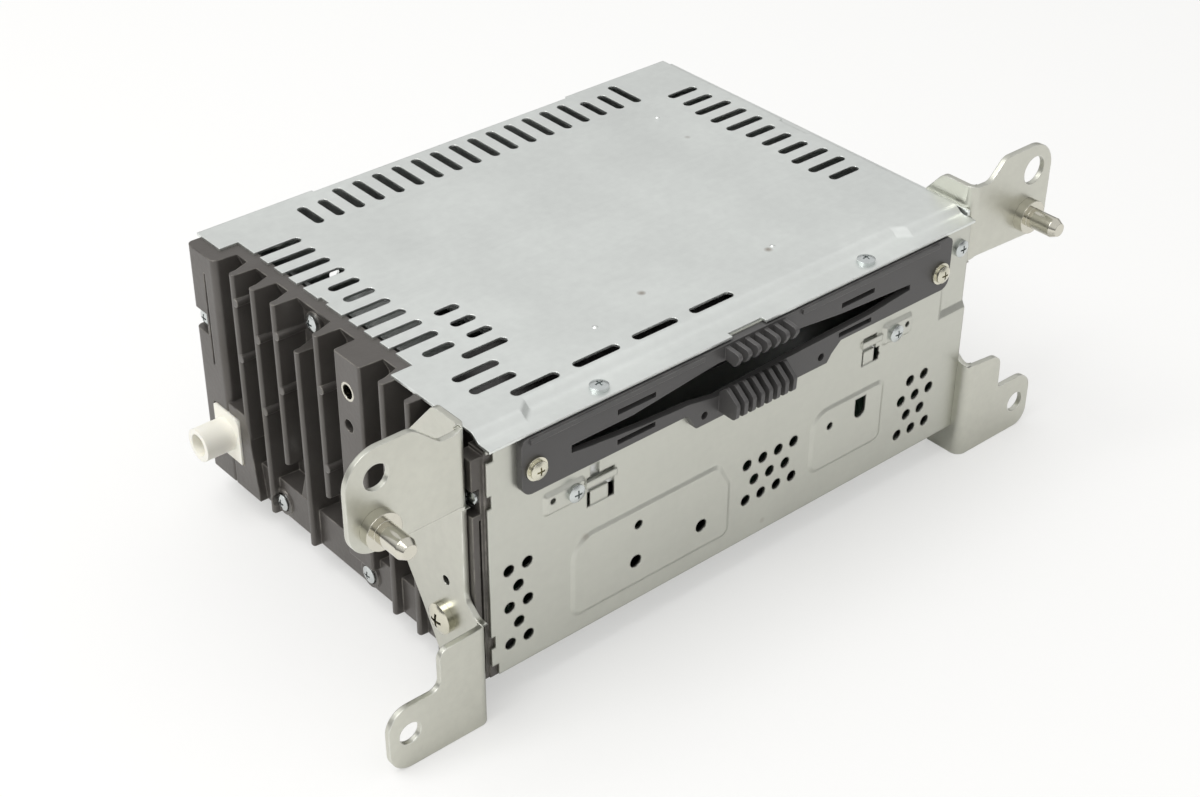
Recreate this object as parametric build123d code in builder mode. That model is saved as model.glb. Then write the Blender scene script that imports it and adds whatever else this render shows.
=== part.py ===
from build123d import *
import math
import os

os.makedirs("parts", exist_ok=True)

# Frame: the origin is the middle of the chassis underside, +X to the right, +Y to the back, +Z up.
# Everything is in millimetres.

# Chassis
unit_width = 177.0
unit_depth = 130.0
unit_height = 75.4
sheet = 1.0
cover_sheet = 0.8
strip_drop = 2.0
bracket_sheet = 1.6
fit = 0.05
press_fit = 0.02

left = -unit_width / 2
right = unit_width / 2
front = -unit_depth / 2
back = unit_depth / 2
cover_under = unit_height - cover_sheet
strip_top = unit_height - strip_drop
strip_under = strip_top - cover_sheet

# Heatsink
fin_reach = 9.0
base_thickness = 3.0
heatsink_proud = 4.0
fin_tip = left - heatsink_proud
valley = fin_tip + fin_reach
heatsink_inner = valley + base_thickness

# Disc slot and mechanism
slot_below_top = 12.3
slot_from_left = 24.9
slot_from_right = 28.4
disc_radius = 60.0
disc_from_front = 66.0
deck_gap = 7.05
deck_sheet = 1.2
deck_drop = 19.1
slot_z = unit_height - slot_below_top
slot_left = left + slot_from_left
slot_right = right - slot_from_right
disc_x = (slot_left + slot_right) / 2
disc_y = front + disc_from_front
disc_seat = slot_z - 0.7
deck_under = slot_z - deck_drop
deck_floor = deck_under + deck_sheet
deck_left = heatsink_inner + deck_gap
deck_right = 2 * disc_x - deck_left
deck_front = front + sheet
deck_back = back - 8.0

# Screws
small_head = 2.6
small_head_height = 1.6
small_shank = 1.35
bracket_head = 4.4
bracket_head_height = 3.2
bracket_shank = 2.4

upright = (Align.CENTER, Align.CENTER, Align.MIN)
hanging = (Align.CENTER, Align.CENTER, Align.MAX)


def block(x0, x1, y0, y1, z0, z1, mode=Mode.ADD):
    # a box between two corners
    with Locations(((x0 + x1) / 2, (y0 + y1) / 2, (z0 + z1) / 2)):
        Box(x1 - x0, y1 - y0, z1 - z0, mode=mode)


def rod(start, end, radius, mode=Mode.ADD, end_radius=None):
    # a round bar, or a cone, from one point to another
    run = Vector(*end) - Vector(*start)
    with Locations(Plane(origin=start, z_dir=run)):
        if end_radius is None:
            Cylinder(radius, run.length, align=upright, mode=mode)
        else:
            Cone(radius, end_radius, run.length, align=upright, mode=mode)


def outline(corners, plane):
    # a closed outline on a plane; a third number rounds a corner
    with BuildSketch(plane) as shape:
        with BuildLine():
            Polyline(*[(corner[0], corner[1]) for corner in corners], close=True)
        make_face()
        for corner in corners:
            if len(corner) > 2:
                fillet(vertices().sort_by_distance((corner[0], corner[1]))[0], radius=corner[2])
    return shape.sketch


def prism(corners, axis, low, high, mode=Mode.ADD):
    # an outline across one axis, filled between two places on it
    planes = {"x": Plane.YZ.offset(low), "y": Plane.XZ.offset(-high), "z": Plane.XY.offset(low)}
    extrude(outline(corners, planes[axis]), amount=high - low, mode=mode)


def screw(seat, outward, head_radius, head_height, shank_radius, shank_length):
    # a domed pan head with a cross recess, its underside on the seat
    plane = Plane(origin=seat, z_dir=outward)
    dome = head_height * 0.4
    dome_radius = (head_radius ** 2 + dome ** 2) / (2 * dome)
    latitude = math.degrees(math.asin(1 - dome / dome_radius))
    with Locations(plane):
        Cylinder(head_radius, head_height - dome, align=upright)
        Cylinder(shank_radius, shank_length, align=hanging)
    with Locations(plane.offset(head_height - dome)):
        Sphere(dome_radius, arc_size1=latitude, arc_size2=90, align=upright)
    with Locations(plane.offset(head_height)):
        for turn in (0, 90):
            Box(
                head_radius * 0.95, head_radius * 0.2, head_height * 0.6,
                rotation=(0, 0, turn), align=hanging, mode=Mode.SUBTRACT,
            )


# Top cover: a galvanised lid with a stepped-down strip along the front for its two screws
cover_front = front - 1.6
cover_back = back + 1.2
cover_right = right - 1.8
cover_left = left + 6.6
front_tab_left = left - 0.1
front_tab_back = front + 38.3
rear_tab_left = left + 0.6
rear_tab_front = back - 10.5
cover_screw_y = front + sheet + small_shank + 0.1
joggle_radius = 2.5
joggle_run = 0.9
step_low = cover_screw_y + small_head + joggle_run + 0.1
step_high = step_low + 2.6
slot_width = 3.0
slot_pitch = 7.0
long_slot = 14.2
short_slot = 11.3
back_slots_start = back - 16.3
back_slots_count = 18
back_slots_x = left + 30.55
side_slots_y = front + 39.95
side_slots_x = right - 12.6
left_slots_end = left + 20.8
front_slot_length = 15.0
front_slots_y = front + 11.85
front_slots_x = left + 24.9
front_slots_pitch = 20.0
cover_screw_points = [(left + 37.8, cover_screw_y), (right - 42.7, cover_screw_y)]
tongue_y = front + 78.6
tongue_half = 3.5
tongue_drop = 8.2
tongue_screw_z = cover_under - 4.6
left_jog = 3.4
right_jog = 2.5
# places along X, and how far the step lies forward of its middle run there
lid_stations = [
    (front_tab_left, left_jog), (left + 14.8, left_jog), (left + 18.6, 0.0),
    (right - 26.4, 0.0), (right - 22.4, right_jog), (cover_right, right_jog),
]
dimple_radius = 0.8
dimple_tip = 0.3
dimple_height = 0.4
cover_dimples = [(left + 53.4, front + 22.3), (left + 118.1, front + 22.7), (left + 146.5, front + 101.9)]



def lid_section(x, shift):
    # the outline of the lid across X, with its step moved forward by the shift
    low_edge = step_low - shift
    high_edge = step_high - shift
    return outline(
        [(cover_front, strip_under), (cover_front, strip_top), (low_edge, strip_top, joggle_radius),
         (high_edge, unit_height, joggle_radius), (cover_back, unit_height), (cover_back, cover_under),
         (high_edge + 0.3, cover_under, joggle_radius), (low_edge + 0.3, strip_under, joggle_radius)],
        Plane.YZ.offset(x),
    )


lid_sections = [lid_section(x, shift) for x, shift in lid_stations]

with BuildPart() as top_cover:
    # three straight runs of the step, and two slanted ones between them
    for k in (0, 2, 4):
        extrude(lid_sections[k], amount=lid_stations[k + 1][0] - lid_stations[k][0])
    for k in (1, 3):
        loft([lid_sections[k], lid_sections[k + 1]], ruled=True)
    for x, y in cover_dimples:
        rod(
            (x, y, unit_height), (x, y, unit_height + dimple_height), dimple_radius,
            end_radius=dimple_tip,
        )
    block(
        front_tab_left, cover_left, front_tab_back, rear_tab_front,
        strip_under, unit_height, mode=Mode.SUBTRACT,
    )
    block(
        front_tab_left, rear_tab_left, rear_tab_front, cover_back,
        strip_under, unit_height, mode=Mode.SUBTRACT,
    )
    block(
        left + 38.9, right - 43.1, back + 0.3, cover_back, cover_under, unit_height, mode=Mode.SUBTRACT
    )
    block(
        cover_right - 1.2, cover_right, front + 64.5, front + 76.6,
        cover_under, unit_height, mode=Mode.SUBTRACT,
    )
    block(
        slot_left + 55.0, slot_left + 67.2, cover_front, front + 0.3,
        strip_under, strip_top, mode=Mode.SUBTRACT,
    )
    block(
        cover_left, cover_left + 1.0, tongue_y - 1.9, tongue_y + 1.9,
        cover_under, unit_height, mode=Mode.SUBTRACT,
    )
    # slots
    with BuildSketch(Plane.XY.offset(cover_under)):
        for k in range(back_slots_count):
            slot_length = short_slot if k in (0, 1, 15, 16) else long_slot
            with Locations((back_slots_x + slot_pitch * k, back_slots_start + slot_length / 2)):
                SlotOverall(slot_length, slot_width, rotation=90)
        for k in range(11):
            slot_length = short_slot if k in (0, 3, 4, 5, 9, 10) else long_slot
            with Locations((side_slots_x, side_slots_y + slot_pitch * k)):
                SlotOverall(slot_length, slot_width)
        for k in range(4):
            with Locations((front_slots_x + front_slots_pitch * k, front_slots_y)):
                SlotOverall(front_slot_length, slot_width)
        for k in (1, 2, 3, 4, 7, 8, 9, 10):
            with Locations((left_slots_end - long_slot / 2 - 3.5, side_slots_y + slot_pitch * k)):
                SlotOverall(long_slot + 7.0, slot_width)
        for k in (0, 5, 6):
            with Locations((left_slots_end - 4.8, side_slots_y + slot_pitch * k)):
                SlotOverall(9.6, slot_width)
        for k in (0, 1, 2):
            with Locations((left + 29.2, side_slots_y + slot_pitch * k)):
                SlotOverall(7.6, slot_width)
        with Locations((left + 25.5, side_slots_y - slot_pitch)):
            SlotOverall(long_slot, slot_width)
        for k in (2, 3):
            with Locations((left + 17.1, side_slots_y - slot_pitch * k)):
                SlotOverall(long_slot, slot_width)
    extrude(amount=cover_sheet, mode=Mode.SUBTRACT)
    for x, y in cover_screw_points:
        rod((x, y, strip_under), (x, y, strip_top), small_shank + fit, mode=Mode.SUBTRACT)
    # tongue bent down inside the heatsink
    block(
        heatsink_inner, heatsink_inner + cover_sheet, tongue_y - tongue_half, tongue_y + tongue_half,
        cover_under - tongue_drop, cover_under,
    )
    rod(
        (heatsink_inner, tongue_y, tongue_screw_z),
        (heatsink_inner + cover_sheet, tongue_y, tongue_screw_z), small_shank + fit, mode=Mode.SUBTRACT,
    )
top_cover.part.label = "top_cover"
export_step(top_cover.part, "parts/top_cover.step")

with BuildPart() as cover_screws:
    for x, y in cover_screw_points:
        screw((x, y, strip_top), (0, 0, 1), small_head, small_head_height, small_shank, 4.0)
cover_screws.part.label = "cover_screws"
export_step(cover_screws.part, "parts/cover_screws.step")

# Front panel: folded steel, with a return along the top and at the left, vent holes and formed pads
panel_bottom = 0.7
panel_return = 4.2
panel_left_return = 9.0
return_bottom = 38.0
vent_radius = 1.75
vent_pitch = 6.0
plateau_rise = 0.6
pad_rise = 0.9
plateau_slope = 66.0
pad_slope = 50.0
recess_depth = 1.1
recess_slope = 2.0
recess_left = right - 9.6
recess_bottom = slot_z - 18.1
pad_low = slot_z - 19.1
pad_high = slot_z - 11.8
window_low = slot_z - 22.9
window_high = slot_z - 13.6
lug_low = slot_z - 16.5
lug_high = slot_z - 14.5
tab_high = slot_z - 18.5
tab_set = 0.3
left_pad_screw = (left + 27.1, slot_z - 15.1)
right_pad_screw = (right - 31.4, slot_z - 15.7)
recess_screw = (right - 4.0, strip_under - 8.6)
bezel_screw_points = [(left + 13.4, slot_z - 0.3), (right - 16.2, slot_z - 1.3)]
column_screw = (front + 4.6, slot_z - 5.4)
left_plateau = [
    (left + 26.1, 6.0, 3.5), (left + 83.4, 6.0, 3.0), (left + 83.3, 24.0, 4.0), (left + 78.8, 32.4, 4.0),
    (left + 26.1, 32.4, 8.0),
]
right_plateau = [
    (right - 63.0, 11.0, 4.0), (right - 33.0, 11.0, 3.0), (right - 33.0, 32.6, 3.0),
    (right - 63.0, 32.6, 6.5),
]
left_pad = [
    (left + 17.2, pad_low, 1.5), (left + 31.2, pad_low, 1.5), (left + 31.2, pad_high, 1.5),
    (left + 17.2, pad_high, 1.5),
]
right_pad = [
    (right - 36.0, pad_low, 1.5), (right - 23.5, pad_low, 1.5), (right - 23.5, pad_high, 1.5),
    (right - 36.0, pad_high, 1.5),
]
vent_points = []
for x, z in ((6.1, 8.8), (12.1, 8.8), (9.1, 14.8), (6.1, 20.8), (12.1, 20.8), (9.1, 26.8)):
    vent_points.append((left + x, z))
for x, z in ((6.1, 32.8), (12.1, 32.8)):
    vent_points.append((left + x, z))
for z, start, count in ((14.4, 1.2, 4), (20.4, 4.2, 3), (26.4, 1.2, 4)):
    for k in range(count):
        vent_points.append((start + vent_pitch * k, z))
for z, start, count in ((8.2, -24.7, 3), (14.2, -21.5, 2), (20.1, -24.4, 3), (26.1, -21.2, 2)):
    for k in range(count):
        vent_points.append((right + start + vent_pitch * k, z))


with BuildPart() as front_panel:
    block(left, right, front, front + sheet, panel_bottom, strip_under)
    block(left + 4.0, recess_left, front, front + panel_return, strip_under - sheet, strip_under)
    block(
        heatsink_inner, heatsink_inner + sheet, front, front + panel_left_return,
        return_bottom, strip_under - 4.0,
    )
    # formed plateaus and screw pads, pressed out from behind with sloping edges
    for field, rise, slope in (
        (left_plateau, plateau_rise, plateau_slope), (right_plateau, plateau_rise, plateau_slope),
        (left_pad, pad_rise, pad_slope), (right_pad, pad_rise, pad_slope),
    ):
        middle_x = sum(corner[0] for corner in field) / len(field)
        middle_z = sum(corner[1] for corner in field) / len(field)
        inset = [
            (middle_x + (x - middle_x) * 0.94, middle_z + (z - middle_z) * 0.86, radius * 0.8)
            for x, z, radius in field
        ]
        extrude(outline(field, Plane.XZ.offset(-front)), amount=rise, taper=slope)
        prism(inset, "y", front + sheet - rise, front + sheet, mode=Mode.SUBTRACT)
    # recessed strip at the upper right, for the screw into the side panel; its edges slope to the face
    block(
        recess_left - recess_slope, right, front, front + sheet, recess_bottom - recess_slope, strip_under,
        mode=Mode.SUBTRACT,
    )
    block(
        recess_left, right, front + recess_depth, front + recess_depth + sheet, recess_bottom, strip_under
    )
    prism(
        [(recess_left - recess_slope, front), (recess_left, front + recess_depth),
         (recess_left, front + recess_depth + sheet), (recess_left - recess_slope, front + sheet)],
        "z", recess_bottom - recess_slope, strip_under,
    )
    prism(
        [(front, recess_bottom - recess_slope), (front + recess_depth, recess_bottom),
         (front + recess_depth + sheet, recess_bottom), (front + sheet, recess_bottom - recess_slope)],
        "x", recess_left - recess_slope, right,
    )
    # disc opening and lugged windows
    block(
        slot_left - 1.0, slot_right + 1.0, front, front + sheet, slot_z - 7.0, slot_z + 6.2,
        mode=Mode.SUBTRACT,
    )
    block(left + 31.8, left + 41.1, front - 1, front + sheet, window_low, window_high, mode=Mode.SUBTRACT)
    block(
        left + 33.0, left + 36.0, front - 1, front + sheet, window_high, window_high + 3.5,
        mode=Mode.SUBTRACT,
    )
    block(right - 43.5, right - 38.0, front - 1, front + sheet, window_low, window_high, mode=Mode.SUBTRACT)
    block(right - 38.0, right - 36.5, front - 1, front + sheet, window_low, tab_high, mode=Mode.SUBTRACT)
    block(left + 31.2, left + 41.6, front - 0.6, front + sheet - 0.6, lug_low, lug_high)
    block(right - 44.0, right - 36.0, front - 0.6, front + sheet - 0.6, lug_low, lug_high)
    # set-back tabs that stand free in the lower half of the windows
    block(left + 33.2, left + 39.2, front + tab_set, front + sheet, window_low - 0.5, tab_high)
    block(right - 42.6, right - 38.4, front + tab_set, front + sheet, window_low - 0.5, tab_high)
    # vents and round holes
    with BuildSketch(Plane.XZ.offset(-front - sheet)):
        for x, z in vent_points:
            with Locations((x, z)):
                Circle(vent_radius)
        for x, z, radius in (
            (left + 48.5, 14.5, 2.0), (left + 72.3, 14.6, 2.0), (left + 49.3, 26.4, 1.4),
            (right - 55.4, 25.6, 1.2), (right - 36.9, slot_z - 21.2, 0.8),
            (left + 20.0, slot_z - 14.6, 0.9), (right - 26.3, slot_z - 15.0, 0.9),
            (right - 43.1, 25.5, 2.25),
        ):
            with Locations((x, z)):
                Circle(radius)
        with Locations((right - 43.1, 27.8)):
            Rectangle(4.5, 4.6)
        with Locations((right - 6.8, slot_z - 8.5)):
            Rectangle(2.2, 5.3)
        for x, z in (left_pad_screw, right_pad_screw):
            with Locations((x, z)):
                Circle(small_shank + fit)
        for x, z in bezel_screw_points:
            with Locations((x, z)):
                Circle(small_shank + fit)
    extrude(amount=sheet + 2, mode=Mode.SUBTRACT)
    rod(
        (recess_screw[0], front, recess_screw[1]), (recess_screw[0], front + 3, recess_screw[1]),
        small_shank + fit, mode=Mode.SUBTRACT,
    )
    for x, y in cover_screw_points:
        rod((x, y, strip_under - sheet), (x, y, strip_under), small_shank + fit, mode=Mode.SUBTRACT)
    rod(
        (heatsink_inner, column_screw[0], column_screw[1]),
        (heatsink_inner + sheet, column_screw[0], column_screw[1]),
        small_shank + fit, mode=Mode.SUBTRACT,
    )
    # notches in the left edge
    for depth, low, high in (
        (2.2, slot_z + 5.6, slot_z + 8.4), (1.3, slot_z - 8.4, slot_z - 4.4),
        (1.3, 10.1, 14.0), (2.2, panel_bottom, 4.4),
    ):
        block(left, left + depth, front, front + sheet, low, high, mode=Mode.SUBTRACT)
front_panel.part.label = "front_panel"
export_step(front_panel.part, "parts/front_panel.step")

with BuildPart() as front_panel_screws:
    for x, z in (left_pad_screw, right_pad_screw):
        screw((x, front - pad_rise, z), (0, -1, 0), small_head, small_head_height, small_shank, 4.5)
    screw(
        (recess_screw[0], front + recess_depth, recess_screw[1]), (0, -1, 0),
        small_head, small_head_height, small_shank, 4.0,
    )
front_panel_screws.part.label = "front_panel_screws"
export_step(front_panel_screws.part, "parts/front_panel_screws.step")

# Disc slot guide: a plastic moulding with a tapered mouth and a comb above and below its middle
bezel_depth = 2.2
bezel_front = front - bezel_depth
bezel_left = left + 9.2
bezel_right = right - 11.7
bezel_bottom = slot_z - 7.7
bezel_top = strip_under - 0.4
comb_rib = 1.3
upper_comb_pitch = 3.45
upper_comb_count = 7
lower_comb_pitch = 3.0
lower_comb_count = 8

with BuildPart() as disc_guide_bezel:
    prism(
        [(bezel_left, bezel_bottom, 3.2), (disc_x - 22.5, bezel_bottom), (disc_x - 19.4, slot_z - 13.1, 1.0),
         (disc_x + 29.6, slot_z - 13.1), (disc_x + 31.3, slot_z - 10.7), (disc_x + 34.7, bezel_bottom),
         (bezel_right, bezel_bottom, 3.0), (bezel_right, bezel_top, 2.2), (bezel_left, bezel_top, 2.2)],
        "y", bezel_front, front,
    )
    prism(
        [(slot_left, slot_z - 1.3), (slot_left + 14.5, slot_z - 2.8), (slot_left + 25.8, slot_z - 3.7),
         (slot_left + 40.3, slot_z - 4.4), (slot_left + 49.4, slot_z - 6.1),
         (slot_right - 50.6, slot_z - 4.8), (slot_right - 15.6, slot_z - 3.9), (slot_right, slot_z - 2.2),
         (slot_right, slot_z - 0.4), (slot_right - 27.9, slot_z + 1.1), (slot_right - 46.6, slot_z + 3.2),
         (slot_left + 49.5, slot_z + 4.4), (slot_left + 20.0, slot_z + 1.2), (slot_left, slot_z + 1.1)],
        "y", bezel_front, front, mode=Mode.SUBTRACT,
    )
    for x, z in (
        (slot_left + 21.6, slot_z + 4.2), (slot_right - 21.4, slot_z + 3.6),
        (slot_left + 21.6, slot_z - 5.0), (slot_right - 21.7, slot_z - 5.8),
    ):
        block(x - 6.5, x + 6.5, bezel_front, front, z - 0.8, z + 0.8, mode=Mode.SUBTRACT)
    # raised rims along the top
    block(bezel_left + 2.5, disc_x - 17.6, bezel_front - 0.6, bezel_front, bezel_top - 1.7, bezel_top - 0.3)
    block(disc_x + 18.2, bezel_right - 6.0, bezel_front - 0.6, bezel_front, bezel_top - 1.7, bezel_top - 0.3)
    # upper comb
    for k in range(upper_comb_count):
        x = disc_x - 9.1 + upper_comb_pitch * k
        prism(
            [(bezel_front, slot_z + 4.6), (bezel_front, slot_z + 8.4),
             (bezel_front - 5.8, slot_z + 7.9, 1.2), (bezel_front - 3.8, slot_z + 3.9, 1.0)],
            "x", x - comb_rib / 2, x + comb_rib / 2,
        )
    # lower comb
    for k in range(lower_comb_count):
        x = disc_x - 10.7 + lower_comb_pitch * k
        prism(
            [(bezel_front, slot_z - 11.0), (bezel_front, slot_z - 4.9),
             (bezel_front - 2.3, slot_z - 2.6, 1.0), (bezel_front - 6.8, slot_z - 6.1, 1.5),
             (bezel_front - 6.5, slot_z - 11.1, 1.5)],
            "x", x - comb_rib / 2, x + comb_rib / 2,
        )
    for x, z in bezel_screw_points:
        rod((x, bezel_front, z), (x, front, z), small_shank + fit, mode=Mode.SUBTRACT)
    for x in (disc_x - 16.4, disc_x + 27.1):
        rod((x, bezel_front, slot_z - 10.2), (x, front, slot_z - 10.2), 1.2, mode=Mode.SUBTRACT)
disc_guide_bezel.part.label = "disc_guide_bezel"
export_step(disc_guide_bezel.part, "parts/disc_guide_bezel.step")

flange_radius = 3.3
flange_height = 0.8

with BuildPart() as bezel_screws:
    for x, z in bezel_screw_points:
        rod((x, bezel_front - flange_height, z), (x, bezel_front, z), flange_radius)
        screw(
            (x, bezel_front - flange_height, z), (0, -1, 0), small_head, small_head_height,
            small_shank, bezel_depth + flange_height + 4.0,
        )
bezel_screws.part.label = "bezel_screws"
export_step(bezel_screws.part, "parts/bezel_screws.step")

# Heatsink: die-cast left wall; fins and blocks stand out from its base plate
heatsink_front = front + sheet
heatsink_back = back - 0.4
column_back = front + 7.0
column_top = strip_under - 1.1
column_face = front + 1.4
column_seat = left - 1.2
fin_tip_half = 1.0
fin_tip_round = 0.8
fin_root_half = 1.7
fin_web = 1.8
fin_pitch = 10.0
rim_depth = 4.0
skirt_out = left - 1.5
skirt_top = 11.8
block_front = heatsink_back - 14.7
boss_front = front + 46.4
boss_back = front + 58.7
insert_point = (front + 52.8, cover_under - 10.2)
insert_radius = 2.75
insert_length = 8.0
thread_radius = 2.1
boss_hole_point = (front + 53.2, cover_under - 21.1)
boss_hole_radius = 1.9
stud_point = (back - 12.0, 16.6)
stud_shank = 3.0
stud_flange = 1.5
stud_sink = 1.0
# drop of the top and height of the foot of each fin, from the rear block forward
rear_fins = [(0.0, 20.0), (0.0, 0.0), (0.0, 22.5), (10.1, 0.0), (0.0, 22.5)]
heatsink_fins = [
    (block_front - 7.9 - fin_pitch * k, cover_under - drop, foot) for k, (drop, foot) in enumerate(rear_fins)
] + [(front + y, cover_under, 0.0) for y in (38.0, 27.0, 17.5)]
# fin number and depth below the top of the round ejector pads on the fins
ejector_radius = 1.25
ejector_pads = [
    (0, 8.6), (0, 26.6), (1, 15.6), (1, 39.1), (2, 9.6), (2, 27.0), (4, 16.6), (4, 42.0),
]
left_bracket_screw_points = [(front + 12.2, 16.7), (front + 21.5, unit_height - 17.4)]
notch_floor = left - 1.5
pad_rim = 0.5
# seat and place of each screw through the wall: two into the bottom plate, then one each
# into the chip clamp, the tongue of the lid, the rear panel and the front panel
wall_screws = [
    (skirt_out, front + 94.0, 4.4), (skirt_out, front + 51.6, 4.2), (left + 1.0, front + 80.5, 25.0),
    (valley - 1.5, tongue_y, tongue_screw_z), (notch_floor, back - 3.6, 51.2),
    (column_seat, column_screw[0], column_screw[1]),
]

with BuildPart() as side_heatsink:
    block(valley, heatsink_inner, column_back, heatsink_back, 0, cover_under)
    block(left, heatsink_inner, heatsink_front, column_back, 0, column_top)
    block(fin_tip + 0.3, left, column_face, column_back, 0, column_top - 1.0)
    block(
        left - 1.7, left - 1.0, column_face, column_face + 1.5, 2.0, column_screw[1] - 6.0,
        mode=Mode.SUBTRACT,
    )
    # rim under the edge of the lid
    prism(
        [(valley, cover_under - rim_depth), (valley, cover_under), (valley - 1.8, cover_under)],
        "y", column_back, heatsink_back,
    )
    for y, top, foot in heatsink_fins:
        prism(
            [(fin_tip, y - fin_tip_half, fin_tip_round), (valley, y - fin_root_half),
             (valley, y + fin_root_half), (fin_tip, y + fin_tip_half, fin_tip_round)],
            "z", foot, top,
        )
        prism(
            [(fin_tip + 2.0, y), (valley, y), (valley, y + fin_root_half + fin_web),
             (fin_tip + 2.0, y + fin_tip_half)],
            "z", top - fin_web, top,
        )
    for k, drop in ejector_pads:
        y = heatsink_fins[k][0] - 1.1
        rod((fin_tip, y, cover_under - drop), (valley, y, cover_under - drop), ejector_radius)
    # rear block, and the solid foot that runs forward from it
    prism(
        [(fin_tip, block_front + 0.8, 2.0), (valley, block_front), (valley, heatsink_back),
         (fin_tip, heatsink_back, 2.0)],
        "z", 0, cover_under,
    )
    prism(
        [(block_front - 11.5, 0), (block_front + 1, 0), (block_front + 1, 28.0), (block_front - 7.9, 28.0)],
        "x", fin_tip, valley,
    )
    # flat boss and skirt
    prism(
        [(fin_tip, boss_front + 0.5, 0.8), (valley, boss_front), (valley, boss_back),
         (fin_tip, boss_back - 0.5, 0.8)],
        "z", 9.0, cover_under,
    )
    prism(
        [(column_back, 0), (block_front, 0), (block_front, skirt_top), (column_back, skirt_top)],
        "x", skirt_out, valley,
    )
    # round pads of the two low screws and of the tongue's screw, and a slanted boss between the fins
    for x, y, z in wall_screws[:2]:
        rod((x - pad_rim, y, z), (valley, y, z), small_head + 1.5)
    x, y, z = wall_screws[3]
    rod((x, y, z), (valley, y, z), small_head + 0.5)
    prism(
        [(skirt_out, 11.0), (wall_screws[2][0], 20.5), (wall_screws[2][0], 29.5), (valley, 31.5),
         (valley, 11.0)],
        "y", wall_screws[2][1] - 4.2, wall_screws[2][1] + 4.2,
    )
    # bosses behind the bracket
    for y, z in left_bracket_screw_points:
        rod((fin_tip, y, z), (valley, y, z), 5.5)
    # notches and grooves
    block(
        fin_tip, notch_floor, heatsink_back - 7.0, heatsink_back, 47.7, 54.7, mode=Mode.SUBTRACT
    )
    block(fin_tip, fin_tip + 0.8, back - 9.1, back - 8.3, 38.5, 68.5, mode=Mode.SUBTRACT)
    # hollow behind the vents of the front panel, and the seat of the stud's flange
    block(
        left + 2.0, heatsink_inner, heatsink_front, heatsink_front + 4.0, 4.0, return_bottom - 1.0,
        mode=Mode.SUBTRACT,
    )
    block(
        fin_tip, fin_tip + stud_sink, stud_point[0] - 7.3, stud_point[0] + 6.3,
        stud_point[1] - 7.9, stud_point[1] + 8.1, mode=Mode.SUBTRACT,
    )
    block(
        fin_tip, column_seat, column_face, column_back, column_screw[1] - 4.2, column_screw[1] + 3.6,
        mode=Mode.SUBTRACT,
    )
    for y, z in left_bracket_screw_points:
        rod((fin_tip, y, z), (heatsink_inner, y, z), bracket_shank + fit, mode=Mode.SUBTRACT)
    for x, y, z in wall_screws:
        rod((x, y, z), (heatsink_inner, y, z), small_shank + fit, mode=Mode.SUBTRACT)
        rod((fin_tip - 1.0, y, z), (x, y, z), small_head + 0.3, mode=Mode.SUBTRACT)
    rod(
        (fin_tip, insert_point[0], insert_point[1]),
        (fin_tip + insert_length, insert_point[0], insert_point[1]),
        insert_radius + press_fit, mode=Mode.SUBTRACT,
    )
    rod(
        (fin_tip, boss_hole_point[0], boss_hole_point[1]),
        (fin_tip + 8.0, boss_hole_point[0], boss_hole_point[1]), boss_hole_radius, mode=Mode.SUBTRACT,
    )
    rod(
        (fin_tip, stud_point[0], stud_point[1]), (heatsink_inner, stud_point[0], stud_point[1]),
        stud_shank + press_fit, mode=Mode.SUBTRACT,
    )
side_heatsink.part.label = "side_heatsink"
export_step(side_heatsink.part, "parts/side_heatsink.step")

with BuildPart() as heatsink_screws:
    for x, y, z in wall_screws:
        screw(
            (x, y, z), (-1, 0, 0), small_head, small_head_height, small_shank, heatsink_inner + 4.0 - x
        )
heatsink_screws.part.label = "heatsink_screws"
export_step(heatsink_screws.part, "parts/heatsink_screws.step")

with BuildPart() as heatsink_thread_insert:
    rod(
        (fin_tip, insert_point[0], insert_point[1]),
        (fin_tip + insert_length, insert_point[0], insert_point[1]), insert_radius,
    )
    rod(
        (fin_tip, insert_point[0], insert_point[1]),
        (fin_tip + insert_length, insert_point[0], insert_point[1]), thread_radius, mode=Mode.SUBTRACT,
    )
heatsink_thread_insert.part.label = "heatsink_thread_insert"
export_step(heatsink_thread_insert.part, "parts/heatsink_thread_insert.step")

# Locating stud: a nylon flanged stud pressed into the heatsink wall, its flange sunk in a seat
stud_radius = 5.15
stud_length = 9.5
stud_bore = 3.4
stud_bore_depth = 7.0
stud_seat = fin_tip + stud_sink
stud_face = stud_seat - stud_flange
stud_end = stud_face - stud_length

with BuildPart() as locating_stud:
    prism(
        [(stud_point[0] - 7.0, stud_point[1] - 7.6), (stud_point[0] + 6.0, stud_point[1] - 7.6, 1.0),
         (stud_point[0] + 6.0, stud_point[1] + 7.8, 1.0), (stud_point[0] - 7.0, stud_point[1] + 7.8, 3.0)],
        "x", stud_face, stud_seat,
    )
    rod((stud_face, *stud_point), (stud_end, *stud_point), stud_radius)
    rod((stud_seat, *stud_point), (heatsink_inner, *stud_point), stud_shank)
    rod((stud_end, *stud_point), (stud_end + stud_bore_depth, *stud_point), stud_bore, mode=Mode.SUBTRACT)
locating_stud.part.label = "locating_stud"
export_step(locating_stud.part, "parts/locating_stud.step")

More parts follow.
